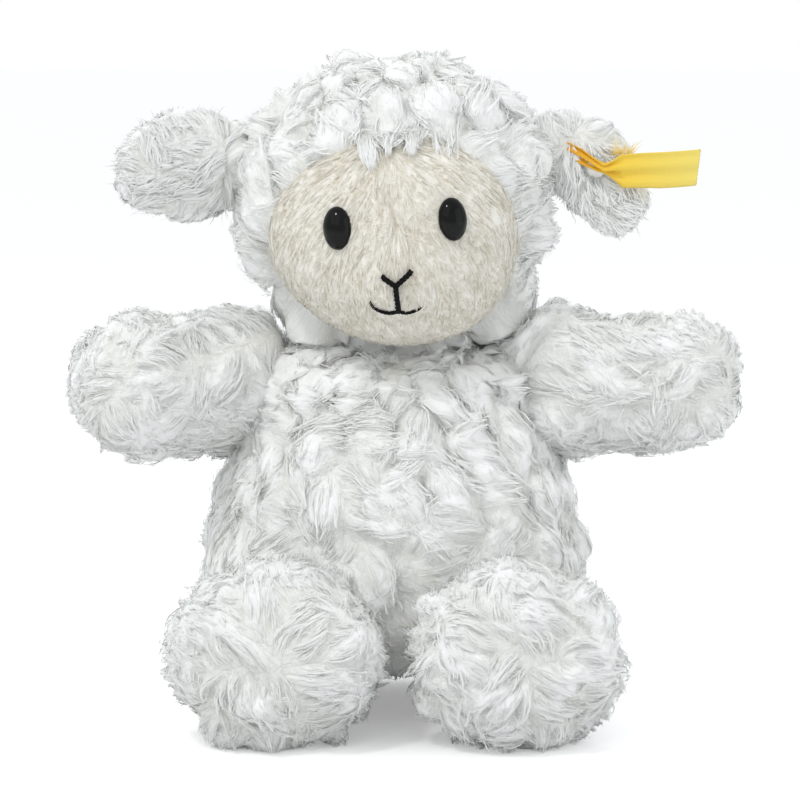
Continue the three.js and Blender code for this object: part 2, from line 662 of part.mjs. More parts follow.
for (const side of [-1, 1]) {
  const name = side < 0 ? 'left' : 'right';
  const eye = new THREE.Group();
  const { point, way } = onFaceAt(side * EYE_SPREAD, headMiddle.z - EYE_DROP);
  eye.position.copy(point).addScaledVector(way, GAP);
  eye.quaternion.setFromUnitVectors(OUTWARDS, way);
  eye.updateMatrix();
  const washerBack = 3 * GAP + FACE_WALL + WASHER_THICKNESS;
  const washer = solidOf(cylinderAlongY(WASHER_RADIUS, WASHER_THICKNESS))
    .subtract(solidOf(cylinderAlongY(EYE_SHANK_RADIUS + GAP, WASHER_THICKNESS + CUT_OVERRUN)));
  const washerPiece = piece(`eye_washer_${name}`, washer, WASHER_WHITE);
  washerPiece.position.y = WASHER_THICKNESS / 2 - washerBack;
  eye.add(piece(`eye_${name}`, eyeSolid(), EYE_BLACK), washerPiece);
  head.add(eye);
  facePanel = facePanel.subtract(holeDown(EYE_SHANK_RADIUS + GAP, washerBack, eye.matrix));
  headFilling = headFilling
    .subtract(holeDown(WASHER_RADIUS + GAP, washerBack + GAP, eye.matrix))
    .subtract(holeDown(EYE_SHANK_RADIUS + GAP, EYE_SHANK_LENGTH + GAP, eye.matrix));
}

// Nose and mouth: thick black stitches that lie on the face
function stitch(points, radius, steps) {
  const section = new THREE.Shape(new THREE.Path().absarc(0, 0, radius, 0, 2 * Math.PI).getPoints(3));
  const lifted = points.map(([across, height]) => {
    const { point, way } = onFaceAt(across, height);
    return point.addScaledVector(way, radius + GAP);
  });
  const path = new THREE.CatmullRomCurve3(lifted);
  return solidOf(new THREE.ExtrudeGeometry(section, { extrudePath: path, steps, bevelEnabled: false }));
}

const noseHeight = headMiddle.z - NOSE_DROP;
const mouthHeight = noseHeight - NOSE_STEM;
const stemEnd = mouthHeight + MOUTH_THREAD + NOSE_THREAD + GAP;
const noseArm = (side) => stitch([
  [side * NOSE_HALF_WIDTH, noseHeight + NOSE_ARM_HEIGHT],
  [side * NOSE_HALF_WIDTH / 2, noseHeight + NOSE_ARM_HEIGHT * NOSE_BEND_SHARE],
  [0, noseHeight],
], NOSE_THREAD, 4);
const noseStem = stitch([[0, noseHeight + NOSE_THREAD / 2], [0, stemEnd]], NOSE_THREAD, 3);
const mouthStitch = stitch(MOUTH_SHARES.map((share) => [
  share * MOUTH_HALF_WIDTH,
  mouthHeight + MOUTH_CURVE * share ** 2,
]), MOUTH_THREAD, 10);
head.add(
  piece('nose_stitch', noseArm(-1).add(noseArm(1)).add(noseStem), BLACK_THREAD),
  piece('mouth_stitch', mouthStitch, BLACK_THREAD),
);

head.add(
  piece('head_hood', hood, WHITE_PLUSH),
  piece('face_panel', facePanel, CREAM_PLUSH),
  piece('head_stuffing', headFilling, FILLING),
);

// Ears: a sagging double leaf of pelt on a round root; +X of a right ear's group runs to its tip
function earForm(side) {
  const half = EAR_LENGTH / 2;
  const leaf = ellipsoid(half, EAR_HALF_THICKNESS, EAR_HALF_HEIGHT, EAR_SIDES).translate(half, 0, 0);
  const place = leaf.attributes.position;
  for (let i = 0; i < place.count; i += 1) {
    const along = place.getX(i) / EAR_LENGTH;
    const up = place.getZ(i) / EAR_HALF_HEIGHT;
    const opened = THREE.MathUtils.smoothstep(along, 0, EAR_FULL_SHARE);
    const gathered = THREE.MathUtils.lerp(EAR_BASE_SHARE, 1, opened);
    place.setY(i, place.getY(i) - EAR_CUP * up ** 2);
    place.setZ(i, place.getZ(i) * gathered - EAR_SAG * along ** 2);
  }
  const root = new THREE.SphereGeometry(EAR_ROOT_RADIUS, SMALL_SIDES, SMALL_SIDES / 2);
  return solidOf(leaf.scale(side, 1, 1)).add(solidOf(root));
}

const earGroups = {};
for (const ear of ears) {
  const group = new THREE.Group();
  group.position.copy(ear.pivot);
  group.rotation.set(0, ear.side * rad(ear.droop), -ear.side * rad(ear.sweep), 'YZX');
  earGroups[ear.name] = group;
  head.add(group);
}

// The rivet's shank goes through the ribbon's eyelet, the right ear and a washer behind it
const earFrontAtRivet = EAR_HALF_THICKNESS
  * Math.sqrt(1 - ((RIVET_REACH - EAR_LENGTH / 2) / (EAR_LENGTH / 2)) ** 2);
const ribbonBack = earFrontAtRivet + GAP;
const rivetSeat = ribbonBack + RIBBON_THICKNESS + GAP;
const shankLength = rivetSeat + earFrontAtRivet + 2 * GAP + RIVET_WASHER_THICKNESS;
const rivetPlace = new THREE.Vector3(RIVET_REACH, 0, -EAR_SAG * (RIVET_REACH / EAR_LENGTH) ** 2);
const rivet = new THREE.Group();
rivet.position.copy(rivetPlace);
const rivetHead = spunAlongY(domeOutline, SMALL_SIDES)
  .scale(RIVET_HEAD_RADIUS, RIVET_HEAD_HEIGHT, RIVET_HEAD_RADIUS)
  .rotateX(Math.PI)
  .translate(0, -rivetSeat, 0);
const rivetSunk = RIVET_HEAD_HEIGHT / 2;
const rivetShank = cylinderAlongY(RIVET_SHANK_RADIUS, shankLength + rivetSunk)
  .translate(0, (shankLength - rivetSunk) / 2 - rivetSeat, 0);
const rivetHole = (radius) => solidOf(cylinderAlongY(radius, 2 * shankLength));
const rivetWasher = solidOf(cylinderAlongY(RIVET_WASHER_RADIUS, RIVET_WASHER_THICKNESS)
  .translate(0, earFrontAtRivet + GAP + RIVET_WASHER_THICKNESS / 2, 0));
rivet.add(
  piece('ear_rivet', solidOf(rivetHead).add(solidOf(rivetShank)), RIVET_STEEL),
  piece('ear_rivet_washer', rivetWasher.subtract(rivetHole(RIVET_SHANK_RADIUS + GAP)), RIVET_STEEL),
);

// The ribbon: an eyelet, a narrow twist and a flag, drawn in the X-Z plane
function ribbonOutline() {
  const neckStart = Math.sqrt(RIBBON_EYELET_RADIUS ** 2 - RIBBON_NECK_HALF_WIDTH ** 2);
  const flagStart = RIBBON_EYELET_RADIUS + RIBBON_HALF_WIDTH;
  const twist = flagStart * RIBBON_TWIST_SHARE;
  const shape = new THREE.Shape();
  shape.moveTo(neckStart, RIBBON_NECK_HALF_WIDTH);
  shape.quadraticCurveTo(twist, RIBBON_NECK_HALF_WIDTH, flagStart, RIBBON_HALF_WIDTH);
  shape.lineTo(RIBBON_LENGTH, RIBBON_HALF_WIDTH);
  shape.lineTo(RIBBON_LENGTH, -RIBBON_HALF_WIDTH);
  shape.lineTo(flagStart, -RIBBON_HALF_WIDTH);
  shape.quadraticCurveTo(twist, -RIBBON_NECK_HALF_WIDTH, neckStart, -RIBBON_NECK_HALF_WIDTH);
  return shape;
}

const ribbonFlag = new THREE.ExtrudeGeometry(ribbonOutline(), {
  depth: RIBBON_THICKNESS, bevelEnabled: false, curveSegments: 3,
}).rotateX(Math.PI / 2);
const ribbonEyelet = cylinderAlongY(RIBBON_EYELET_RADIUS, RIBBON_THICKNESS, SMALL_SIDES)
  .translate(0, -RIBBON_THICKNESS / 2, 0);
const ribbon = new THREE.Group();
ribbon.position.y = -ribbonBack;
ribbon.rotation.y = -rad(RIBBON_LIFT_ANGLE);
ribbon.add(piece(
  'ear_ribbon',
  solidOf(ribbonFlag).add(solidOf(ribbonEyelet)).subtract(rivetHole(RIVET_SHANK_RADIUS + GAP)),
  YELLOW_RIBBON,
));
rivet.add(ribbon);
earGroups.right.add(rivet);
earGroups.left.add(piece('ear_left', earForm(-1), WHITE_PLUSH));
const shankRoom = rivetHole(RIVET_SHANK_RADIUS + GAP).translate(rivetPlace.toArray());
earGroups.right.add(piece('ear_right', earForm(1).subtract(shankRoom), WHITE_PLUSH));

// The origin is under the middle of the whole sheep's box
part.updateMatrixWorld(true);
const middle = new THREE.Box3().setFromObject(part, true).getCenter(new THREE.Vector3());
part.position.set(-middle.x, -middle.y, 0);

export default part;
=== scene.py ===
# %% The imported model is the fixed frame
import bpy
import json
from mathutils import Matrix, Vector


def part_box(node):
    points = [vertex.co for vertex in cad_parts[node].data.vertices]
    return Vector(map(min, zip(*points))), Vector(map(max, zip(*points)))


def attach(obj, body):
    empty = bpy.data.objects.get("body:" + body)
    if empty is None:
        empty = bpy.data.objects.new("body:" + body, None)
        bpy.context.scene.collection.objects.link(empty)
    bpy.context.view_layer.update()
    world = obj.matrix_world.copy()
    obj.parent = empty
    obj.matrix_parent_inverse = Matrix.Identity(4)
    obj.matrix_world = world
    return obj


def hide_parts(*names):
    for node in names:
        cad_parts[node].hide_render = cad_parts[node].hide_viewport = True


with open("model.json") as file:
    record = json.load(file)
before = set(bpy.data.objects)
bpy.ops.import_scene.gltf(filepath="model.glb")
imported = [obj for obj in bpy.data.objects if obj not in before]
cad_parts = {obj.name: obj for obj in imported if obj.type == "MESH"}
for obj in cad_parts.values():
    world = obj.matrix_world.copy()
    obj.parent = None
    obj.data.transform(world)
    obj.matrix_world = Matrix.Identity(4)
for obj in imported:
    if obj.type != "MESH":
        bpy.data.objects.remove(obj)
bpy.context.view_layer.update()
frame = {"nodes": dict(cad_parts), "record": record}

# %% [markdown]
# # A seated plush sheep
# A small stuffed toy of long white pile, with a face of short cream pile, black domed eyes, an
# embroidered nose and mouth, floppy ears and a woven yellow ribbon that is riveted to one ear.
# Under the pile each part is a stuffed skin of cloth. The lesson makes the skins first, and then
# the pile: one fibre is modelled once, and its copies grow in locks and tufts along each skin.

# %% Libraries, units and the places that the frame gives
import json
import math

import bpy
import numpy as np
from mathutils import Matrix, Vector
from mathutils.bvhtree import BVHTree
from mathutils.kdtree import KDTree

MM = 0.001
IMAGE_SIDE = 800
joints = {j["name"]: j for j in frame["record"]["behaviour"]["joints"]}
seat = Vector(frame["record"]["mounts"][0]["pos_m"]) / MM
neck = Vector(joints["neck_turn"]["pos_m"]) / MM
print("torso's axis at", [round(v, 2) for v in seat], "neck at", [round(v, 2) for v in neck])


def pivot_of(joint):
    return Vector(joints[joint]["pos_m"]) / MM


# %% [markdown]
# ## Camera
# The photograph looks slightly down, from about seven degrees above the table, with a long lens.

# %% Camera
CAMERA_DISTANCE = 900
CAMERA_ELEVATION = math.radians(7)
CAMERA_FOCUS_PX = 3276
SENSOR = 36
look_at = seat + Vector((1.4, 0, 84.3))
back = Vector((0, -math.cos(CAMERA_ELEVATION), math.sin(CAMERA_ELEVATION)))
bpy.ops.object.select_all(action="DESELECT")
bpy.ops.object.camera_add(location=(look_at + back * CAMERA_DISTANCE) * MM)
camera = bpy.context.active_object
camera.name = "camera"
camera.rotation_euler = (-back).to_track_quat("-Z", "Y").to_euler()
camera.data.sensor_width = SENSOR
camera.data.lens = CAMERA_FOCUS_PX / IMAGE_SIDE * SENSOR
camera.data.clip_start, camera.data.clip_end = 0.05, 20
bpy.context.scene.camera = camera
print("camera at", [round(v, 3) for v in camera.location])

# %% [markdown]
# ## Floor and light
# A wide pale floor under soft daylight. The camera sees it almost white, because a little light of
# its own is added for camera rays only, so it keeps the soft shadow under the toy, and the daylight
# beyond its edge is plain white to the camera alone.

# %% Node helpers


def new_material(name):
    material = bpy.data.materials.new(name)
    material.use_nodes = True
    tree = material.node_tree
    return material, tree, tree.nodes["Principled BSDF"]


def add_node(tree, kind, **values):
    node = tree.nodes.new(kind)
    for key, value in values.items():
        setattr(node, key, value)
    return node


def feed(tree, socket, value):
    """Links a socket to another one, or sets it to a number or a colour."""
    if isinstance(value, bpy.types.NodeSocket):
        tree.links.new(value, socket)
    else:
        socket.default_value = value


def maths(tree, operation, *values):
    node = add_node(tree, "ShaderNodeMath", operation=operation)
    for socket, value in zip(node.inputs, values):
        feed(tree, socket, value)
    return node.outputs[0]


def mixed(tree, factor, first, second, blend="MIX"):
    node = add_node(tree, "ShaderNodeMix", data_type="RGBA", blend_type=blend)
    feed(tree, node.inputs[0], factor)
    feed(tree, node.inputs[6], first)
    feed(tree, node.inputs[7], second)
    return node.outputs[2]


def spread_to(tree, value, low, high, start=0.0, end=1.0):
    node = add_node(tree, "ShaderNodeMapRange")
    for label, number in (("From Min", start), ("From Max", end), ("To Min", low), ("To Max", high)):
        feed(tree, node.inputs[label], number)
    feed(tree, node.inputs["Value"], value)
    return node.outputs["Result"]


def bumped(tree, height, strength, distance):
    node = add_node(tree, "ShaderNodeBump")
    feed(tree, node.inputs["Strength"], strength)
    node.inputs["Distance"].default_value = distance * MM
    feed(tree, node.inputs["Height"], height)
    return node.outputs["Normal"]


def noise_of(tree, scale, detail=3, place=None):
    """Noise over the object's own coordinates; the scale is in ripples per metre."""
    if place is None:
        place = add_node(tree, "ShaderNodeTexCoord").outputs["Object"]
    node = add_node(tree, "ShaderNodeTexNoise")
    feed(tree, node.inputs["Scale"], scale)
    node.inputs["Detail"].default_value = detail
    feed(tree, node.inputs["Vector"], place)
    return node.outputs["Fac"]


def new_group(name, inputs, outputs):
    """A shader node group, with inputs of (label, kind, value) and outputs of (label, kind)."""
    group = bpy.data.node_groups.new(name, "ShaderNodeTree")
    for label, kind, value in inputs:
        socket = group.interface.new_socket(label, in_out="INPUT", socket_type=f"NodeSocket{kind}")
        socket.default_value = value
    for label, kind in outputs:
        group.interface.new_socket(label, in_out="OUTPUT", socket_type=f"NodeSocket{kind}")
    return group, group.nodes.new("NodeGroupInput").outputs, group.nodes.new("NodeGroupOutput").inputs


def use_group(tree, group, **values):
    node = add_node(tree, "ShaderNodeGroup", node_tree=group)
    for label, value in values.items():
        feed(tree, node.inputs[label], value)
    return node.outputs


# %% Floor
FLOOR_WIDTH = 16000
bpy.ops.object.select_all(action="DESELECT")
bpy.ops.mesh.primitive_plane_add(size=FLOOR_WIDTH * MM, location=(0, 0, 0))
floor = bpy.context.active_object
floor.name = "floor_sheet"

floor_white, tree, shader = new_material("floor_white")
shader.inputs["Base Color"].default_value = (0.86, 0.86, 0.86, 1)
shader.inputs["Roughness"].default_value = 0.9
shader.inputs["Specular IOR Level"].default_value = 0.1
path = add_node(tree, "ShaderNodeLightPath")
seen = add_node(tree, "ShaderNodeMath", operation="MAXIMUM")
tree.links.new(path.outputs["Is Camera Ray"], seen.inputs[0])
tree.links.new(path.outputs["Is Glossy Ray"], seen.inputs[1])
glow = add_node(tree, "ShaderNodeEmission")
glow.inputs["Strength"].default_value = 0.32
unlit = add_node(tree, "ShaderNodeEmission")
unlit.inputs["Strength"].default_value = 0
choice = add_node(tree, "ShaderNodeMixShader")
tree.links.new(seen.outputs[0], choice.inputs[0])
tree.links.new(unlit.outputs[0], choice.inputs[1])
tree.links.new(glow.outputs[0], choice.inputs[2])
total = add_node(tree, "ShaderNodeAddShader")
tree.links.new(shader.outputs[0], total.inputs[0])
tree.links.new(choice.outputs[0], total.inputs[1])
tree.links.new(total.outputs[0], tree.nodes["Material Output"].inputs["Surface"])
floor.data.materials.append(floor_white)
print("floor:", [round(v, 1) for v in floor.dimensions])

# %% Daylight and lamps
world = bpy.data.worlds.new("daylight")
bpy.context.scene.world = world
world.use_nodes = True
sky = world.node_tree.nodes["Background"]
sky.inputs["Color"].default_value = (0.95, 0.98, 1.0, 1)
sky.inputs["Strength"].default_value = 0.8
path = add_node(world.node_tree, "ShaderNodeLightPath")
beyond = add_node(world.node_tree, "ShaderNodeBackground")
beyond.inputs["Color"].default_value = (1, 1, 1, 1)
choice = add_node(world.node_tree, "ShaderNodeMixShader")
world.node_tree.links.new(path.outputs["Is Camera Ray"], choice.inputs[0])
world.node_tree.links.new(sky.outputs[0], choice.inputs[1])
world.node_tree.links.new(beyond.outputs[0], choice.inputs[2])
world.node_tree.links.new(choice.outputs[0], world.node_tree.nodes["World Output"].inputs["Surface"])
bpy.context.scene.view_settings.view_transform = "Standard"


def area_lamp(name, place, width, height, watts, colour):
    bpy.ops.object.select_all(action="DESELECT")
    bpy.ops.object.light_add(type="AREA", location=Vector(place) * MM)
    lamp = bpy.context.active_object
    lamp.name = name
    lamp.data.shape = "RECTANGLE"
    lamp.data.size, lamp.data.size_y = width * MM, height * MM
    lamp.data.energy = watts
    lamp.data.color = colour
    aim = look_at * MM - lamp.location
    lamp.rotation_euler = aim.to_track_quat("-Z", "Y").to_euler()
    lamp.visible_camera = False
    return lamp


area_lamp("window", (-520, -760, 820), 1200, 1000, 1.6, (1, 0.99, 0.97))
area_lamp("fill", (900, -500, 380), 800, 800, 1.0, (0.97, 0.99, 1))
area_lamp("rim", (100, 760, 700), 700, 300, 2.2, (1, 1, 1))
bulb = area_lamp("bulb", (-400, -572, 1000), 140, 140, 2.6, (1, 0.99, 0.97))
bulb.data.shape = "DISK"

# %% [markdown]
# ## Stuffed skins
# Each part of the toy is a closed bag of cloth that is stuffed hard. A ring of vertices is
# extruded along the part and resized at each step, as the pattern swells and tapers, the ends are
# drawn to a point, and a subdivision rounds it. The skin lies one pile depth inside the toy's
# outline, because the pile then fills the rest.

# %% Edit-mode helpers for the skins
SKIN_INSET = 3.2


def only(piece):
    bpy.ops.object.select_all(action="DESELECT")
    piece.select_set(True)
    bpy.context.view_layer.objects.active = piece


def apply_modifiers(piece):
    only(piece)
    for modifier in list(piece.modifiers):
        bpy.ops.object.modifier_apply(modifier=modifier.name)


def outwards(piece):
    only(piece)
    bpy.ops.object.mode_set(mode="EDIT")
    bpy.ops.mesh.select_all(action="SELECT")
    bpy.ops.mesh.normals_make_consistent(inside=False)
    bpy.ops.object.mode_set(mode="OBJECT")
    bpy.ops.object.shade_smooth()


def lofted(name, rings, corners=16, levels=3):
    """A closed skin from rings of (height, half width, half depth, shift across, shift ahead), in mm."""
    bpy.ops.object.select_all(action="DESELECT")
    full = 3 / (2 + math.cos(math.tau / corners))
    high, wide, deep, x, y = rings[0]
    bpy.ops.mesh.primitive_circle_add(vertices=corners, radius=full * MM, fill_type="NOTHING")
    piece = bpy.context.active_object
    piece.name = name
    bpy.ops.object.mode_set(mode="EDIT")
    bpy.ops.mesh.select_all(action="SELECT")
    bpy.ops.transform.resize(value=(wide, deep, 1))
    bpy.ops.transform.translate(value=(x * MM, y * MM, high * MM))
    for (h0, w0, d0, x0, y0), (h1, w1, d1, x1, y1) in zip(rings, rings[1:]):
        step = ((x1 - x0) * MM, (y1 - y0) * MM, (h1 - h0) * MM)
        bpy.ops.mesh.extrude_region_move(TRANSFORM_OT_translate={"value": step})
        bpy.ops.transform.resize(
            value=(w1 / w0, d1 / d0, 1), center_override=(x1 * MM, y1 * MM, h1 * MM))
    bpy.ops.mesh.extrude_region_move(TRANSFORM_OT_translate={"value": (0, 0, 0)})
    bpy.ops.mesh.merge(type="CENTER")
    bpy.ops.mesh.select_all(action="DESELECT")
    bpy.ops.mesh.select_non_manifold()
    bpy.ops.mesh.extrude_region_move(TRANSFORM_OT_translate={"value": (0, 0, 0)})
    bpy.ops.mesh.merge(type="CENTER")
    bpy.ops.object.mode_set(mode="OBJECT")
    rounded = piece.modifiers.new("rounded", "SUBSURF")
    rounded.levels = rounded.render_levels = levels
    apply_modifiers(piece)
    outwards(piece)
    return piece


def placed(piece, matrix):
    """Turns and moves a finished piece, and leaves its object at the origin."""
    only(piece)
    piece.matrix_world = matrix
    bpy.ops.object.transform_apply(location=True, rotation=True, scale=True)
    return piece


def turned_to(way, place, roll=0.0):
    """The matrix that brings +Z of a part to its way and the part's pivot to its place, in mm."""
    turn = Vector(way).to_track_quat("Z", "Y").to_matrix().to_4x4()
    return Matrix.Translation(Vector(place) * MM) @ turn @ Matrix.Rotation(roll, 4, "Z")


def smooth_share(value):
    value = np.clip(value, 0, 1)
    return value * value * (3 - 2 * value)


def points_of(piece):
    points = np.empty(len(piece.data.vertices) * 3)
    piece.data.vertices.foreach_get("co", points)
    return points.reshape(-1, 3) / MM


def move_points(piece, points):
    piece.data.vertices.foreach_set("co", (points * MM).ravel())
    piece.data.update()


def fitted_to(piece, node, inset=SKIN_INSET, reach=9.0, most=2.6, smoothings=6):
    """Moves a skin out or in until it lies one inset inside the node's outer face, and smooths the change."""
    shape = bpy.data.objects[node].data
    shape.calc_loop_triangles()
    corners = [tuple(t.vertices) for t in shape.loop_triangles]
    outside = BVHTree.FromPolygons([tuple(v.co / MM) for v in shape.vertices], corners)
    points = points_of(piece)
    normals = np.array([v.normal for v in piece.data.vertices])
    change = np.zeros(len(points))
    for i, (point, normal) in enumerate(zip(points, normals)):
        hit = outside.ray_cast(Vector(point + normal * 0.4), Vector(normal), reach)
        if hit[0] is not None and hit[1].dot(Vector(normal)) > 0.3:
            change[i] = np.clip(hit[3] + 0.4 - inset, -most, most)
    change = spread_over(piece, change, smoothings)
    move_points(piece, points + normals * change[:, None])
    print(piece.name, "fitted by", round(float(change.min()), 2), "to", round(float(change.max()), 2), "mm")


def spread_over(piece, value, times):
    """Evens out a value of each vertex over its neighbours."""
    edges = np.empty(len(piece.data.edges) * 2, int)
    piece.data.edges.foreach_get("vertices", edges)
    edges = edges.reshape(-1, 2)
    count = np.maximum(np.bincount(edges.ravel(), minlength=len(value)), 1)
    for _ in range(times):
        total = np.bincount(edges[:, 0], value[edges[:, 1]], len(value))
        total += np.bincount(edges[:, 1], value[edges[:, 0]], len(value))
        value = 0.5 * value + 0.5 * total / count
    return value


def flattened_below(piece, height, floor):
    """Stretches what is below a height down to the floor, as a soft part rests on it."""
    points = points_of(piece)
    low = points[:, 2] < height
    lowest = points[:, 2].min()
    points[low, 2] = floor + (points[low, 2] - lowest) * (height - floor) / (height - lowest)
    move_points(piece, points)


# %% Torso skin
# Height up the torso and half width there, as shares of its height and half width
TORSO_HEIGHT, TORSO_HALF_WIDTH, TORSO_HALF_DEPTH = 98, 53, 41
TORSO_SHARES = [
    (0.30, 0.012), (0.58, 0.022), (0.82, 0.09), (0.965, 0.22), (1, 0.375), (0.955, 0.535),
    (0.865, 0.685), (0.765, 0.815), (0.665, 0.89), (0.54, 0.95), (0.36, 0.985)]
rings = []
for wide_share, high_share in TORSO_SHARES:
    high = 1 + high_share * (TORSO_HEIGHT - 1 - SKIN_INSET)
    wide = wide_share * (TORSO_HALF_WIDTH - SKIN_INSET)
    deep = wide_share * (TORSO_HALF_DEPTH - SKIN_INSET)
    rings.append((high, wide, deep, seat.x, seat.y))
torso_skin = lofted("torso_skin", rings, levels=4)
fitted_to(torso_skin, "torso_casing", most=4)


def lifted_between_feet(points, spare):
    """The seat arches between the feet, so that the floor shows below it."""
    middle = smooth_share((17 - np.abs(points[:, 0] - seat.x - 1)) / 9)
    least = (14.5 + spare - 0.13 * (points[:, 1] + 30)) * middle
    points[:, 2] = np.maximum(points[:, 2], least)
    return points


move_points(torso_skin, lifted_between_feet(points_of(torso_skin), 4.0))
print("torso skin:", len(torso_skin.data.polygons), "faces")

# %% Arm, leg and tail skins


def limb_rings(root, end_wide, end_high, reach, blunt=0.8, waist=0.55, swell=0.65, flat=SKIN_INSET):
    """Rings of a limb from its round root at z = 0 to its blunt end."""
    r, w, h = root - flat, end_wide - flat, end_high - flat
    end_depth = blunt * (end_high - flat)
    widest = reach - flat - end_depth
    rings = []
    for turn in (20, 45, 70, 90):
        a = math.radians(turn)
        rings.append((-r * math.cos(a), r * math.sin(a), r * math.sin(a), 0, 0))
    rings.append((widest * waist, r + (w - r) * swell, r + (h - r) * swell, 0, 0))
    rings.append((widest, w, h, 0, 0))
    for turn in (32, 56, 76):
        a = math.radians(turn)
        rings.append((widest + end_depth * math.sin(a), w * math.cos(a), h * math.cos(a), 0, 0))
    return rings


ARM_SWEEPS = {"left": 37, "right": 6}
ARM_LIFTS = {"left": 5, "right": 3.5}
LEG_SPLAYS = {"left": 3, "right": 7}
LEG_DROOP = math.radians(3)
SIDES = {"left": -1, "right": 1}
arm_ways, leg_ways, arm_skins, leg_skins = {}, {}, {}, {}
for name, side in SIDES.items():
    a, up = math.radians(ARM_SWEEPS[name]), math.radians(ARM_LIFTS[name])
    arm_ways[name] = Vector((side * math.cos(a) * math.cos(up), -math.sin(a) * math.cos(up), math.sin(up)))
    skin = lofted(f"arm_{name}_skin", limb_rings(17, 19.5, 19.5, 48))
    arm_skins[name] = placed(skin, turned_to(arm_ways[name], pivot_of(f"shoulder_{name}_raise")))
    a = math.radians(LEG_SPLAYS[name])
    leg_ways[name] = Vector((
        side * math.sin(a) * math.cos(LEG_DROOP), -math.cos(a) * math.cos(LEG_DROOP), -math.sin(LEG_DROOP)))
    skin = lofted(f"leg_{name}_skin", limb_rings(20, 29, 24.5, 31))
    leg_skins[name] = placed(skin, turned_to(leg_ways[name], pivot_of(f"hip_{name}_lift")))
    flattened_below(leg_skins[name], 12, 1.0)
TAIL_DROOP = math.radians(35)
tail_way = Vector((0, math.cos(TAIL_DROOP), -math.sin(TAIL_DROOP)))
tail_skin = placed(
    lofted("tail_skin", limb_rings(6, 7.5, 7.5, 17, flat=2.6), corners=8),
    turned_to(tail_way, pivot_of("tail_lift")))
for skin in [*arm_skins.values(), *leg_skins.values(), tail_skin]:
    print(skin.name, [round(v, 3) for v in skin.dimensions])

# %% Head skin
HEAD_HALF = (42.5, 37, 38)
HEAD_RISE, HEAD_ADVANCE, HEAD_ROLL = 34.5, 6, math.radians(4.5)
NECK_RADIUS = 17
head_place = Matrix.Translation(neck * MM) @ Matrix.Rotation(-HEAD_ROLL, 4, "Y")
rings = []
for high in (-11.5, -8, -2):
    wide = math.sqrt((NECK_RADIUS - SKIN_INSET) ** 2 - high ** 2)
    rings.append((high, wide, wide, 0, -HEAD_ADVANCE * max(0, (high + 14) / 30)))
half_high = HEAD_HALF[2] - SKIN_INSET
for turn in (-64, -48, -30, -12, 6, 24, 40, 56, 70, 81):
    a = math.radians(turn)
    rings.append((
        HEAD_RISE + half_high * math.sin(a),
        (HEAD_HALF[0] - SKIN_INSET) * math.cos(a),
        (HEAD_HALF[1] - SKIN_INSET) * math.cos(a),
        0, -HEAD_ADVANCE))
head_skin = placed(lofted("head_skin", rings, corners=24), head_place)
fitted_to(head_skin, "head_hood", most=6)
print(head_skin.name, [round(v, 3) for v in head_skin.dimensions])

# %% [markdown]
# ## Ears
# An ear is two leaves of pelt sewn back to back, gathered at the root and left unstuffed, so it
# is thin, it sags and it cups a little. It is lofted along its length with flat rings.

# %% Ear skins
EAR_LENGTH, EAR_HALF_HEIGHT, EAR_HALF_THICKNESS = 34.5, 14.5, 5
EAR_SAG, EAR_ROOT_RADIUS, EAR_RISE = 4, 5.5, 12.8
EAR_BASE_SHARE, EAR_FULL_SHARE = 0.72, 0.4
EAR_INSET = 2.5
EAR_TURNS = {"left": (-3, 26), "right": (38, 4)}
EAR_DROOP, EAR_SLIM = {"left": 1.5, "right": 7.5}, {"left": 0.86, "right": 0.84}
EAR_STAND_OFF = EAR_ROOT_RADIUS * math.sin(math.radians(55))
EAR_ACROSS = HEAD_HALF[0] * math.sqrt(1 - (EAR_RISE / HEAD_HALF[2]) ** 2) + EAR_STAND_OFF
ear_places, ear_skins = {}, {}


for name, side in SIDES.items():
    droop, sweep = (math.radians(a) for a in EAR_TURNS[name])
    ear_places[name] = (
        head_place @ Matrix.Translation(Vector((side * EAR_ACROSS, -HEAD_ADVANCE, HEAD_RISE + EAR_RISE)) * MM)
        @ Matrix.Rotation(side * droop, 4, "Y") @ Matrix.Rotation(-side * sweep, 4, "Z"))
    rings = [(-3.6, 1.6, 1.6, 0, 0), (-2.6, 3.6, 2.8, 0, 0), (0, 5.2, 3.6, 0, 0)]
    half = EAR_LENGTH / 2
    for along in (3.5, 7, 11, 16, 21, 26, 30, 32.5):
        share = math.sqrt(1 - ((along - half) / half) ** 2)
        opened = EAR_BASE_SHARE + (1 - EAR_BASE_SHARE) * smooth_share(along / (EAR_LENGTH * EAR_FULL_SHARE))
        high = max(4.2, (EAR_HALF_HEIGHT - EAR_INSET) * share * opened * EAR_SLIM[name])
        thick = max(1.2, (EAR_HALF_THICKNESS - EAR_INSET) * share)
        rings.append((along * (1 - EAR_INSET / EAR_LENGTH), high, thick, side * EAR_DROOP[name] * (along / EAR_LENGTH) ** 2, 0))
    skin = lofted(f"ear_{name}_skin", rings, levels=3)
    lay = Matrix.Rotation(side * math.pi / 2, 4, "Y")
    ear_skins[name] = placed(skin, ear_places[name] @ lay)
    print(skin.name, [round(v, 3) for v in skin.dimensions])

# %% [markdown]
# ## Face
# The face is a pad of short cream pile, set into the hood. It is an egg-shaped dome that is
# widest at the eyes, with a low muzzle, and shallow dents where the eyes are pulled in.

# %% Face skin
FACE_HALF = (35, 30, 31)
FACE_INSET = 1.1
FACE_BACK_HALF = 10
FACE_MIDDLE = np.array([0, -HEAD_ADVANCE - 13, HEAD_RISE - 7])
MUZZLE_HEIGHT, MUZZLE_RISE, MUZZLE_SPREAD, MUZZLE_TALL = HEAD_RISE - 24, 5, 16, 11
EYE_SPOTS = {"left": (-15.1, HEAD_RISE - 4.8), "right": (15.1, HEAD_RISE - 4.8)}
BROW_HEIGHT = 54


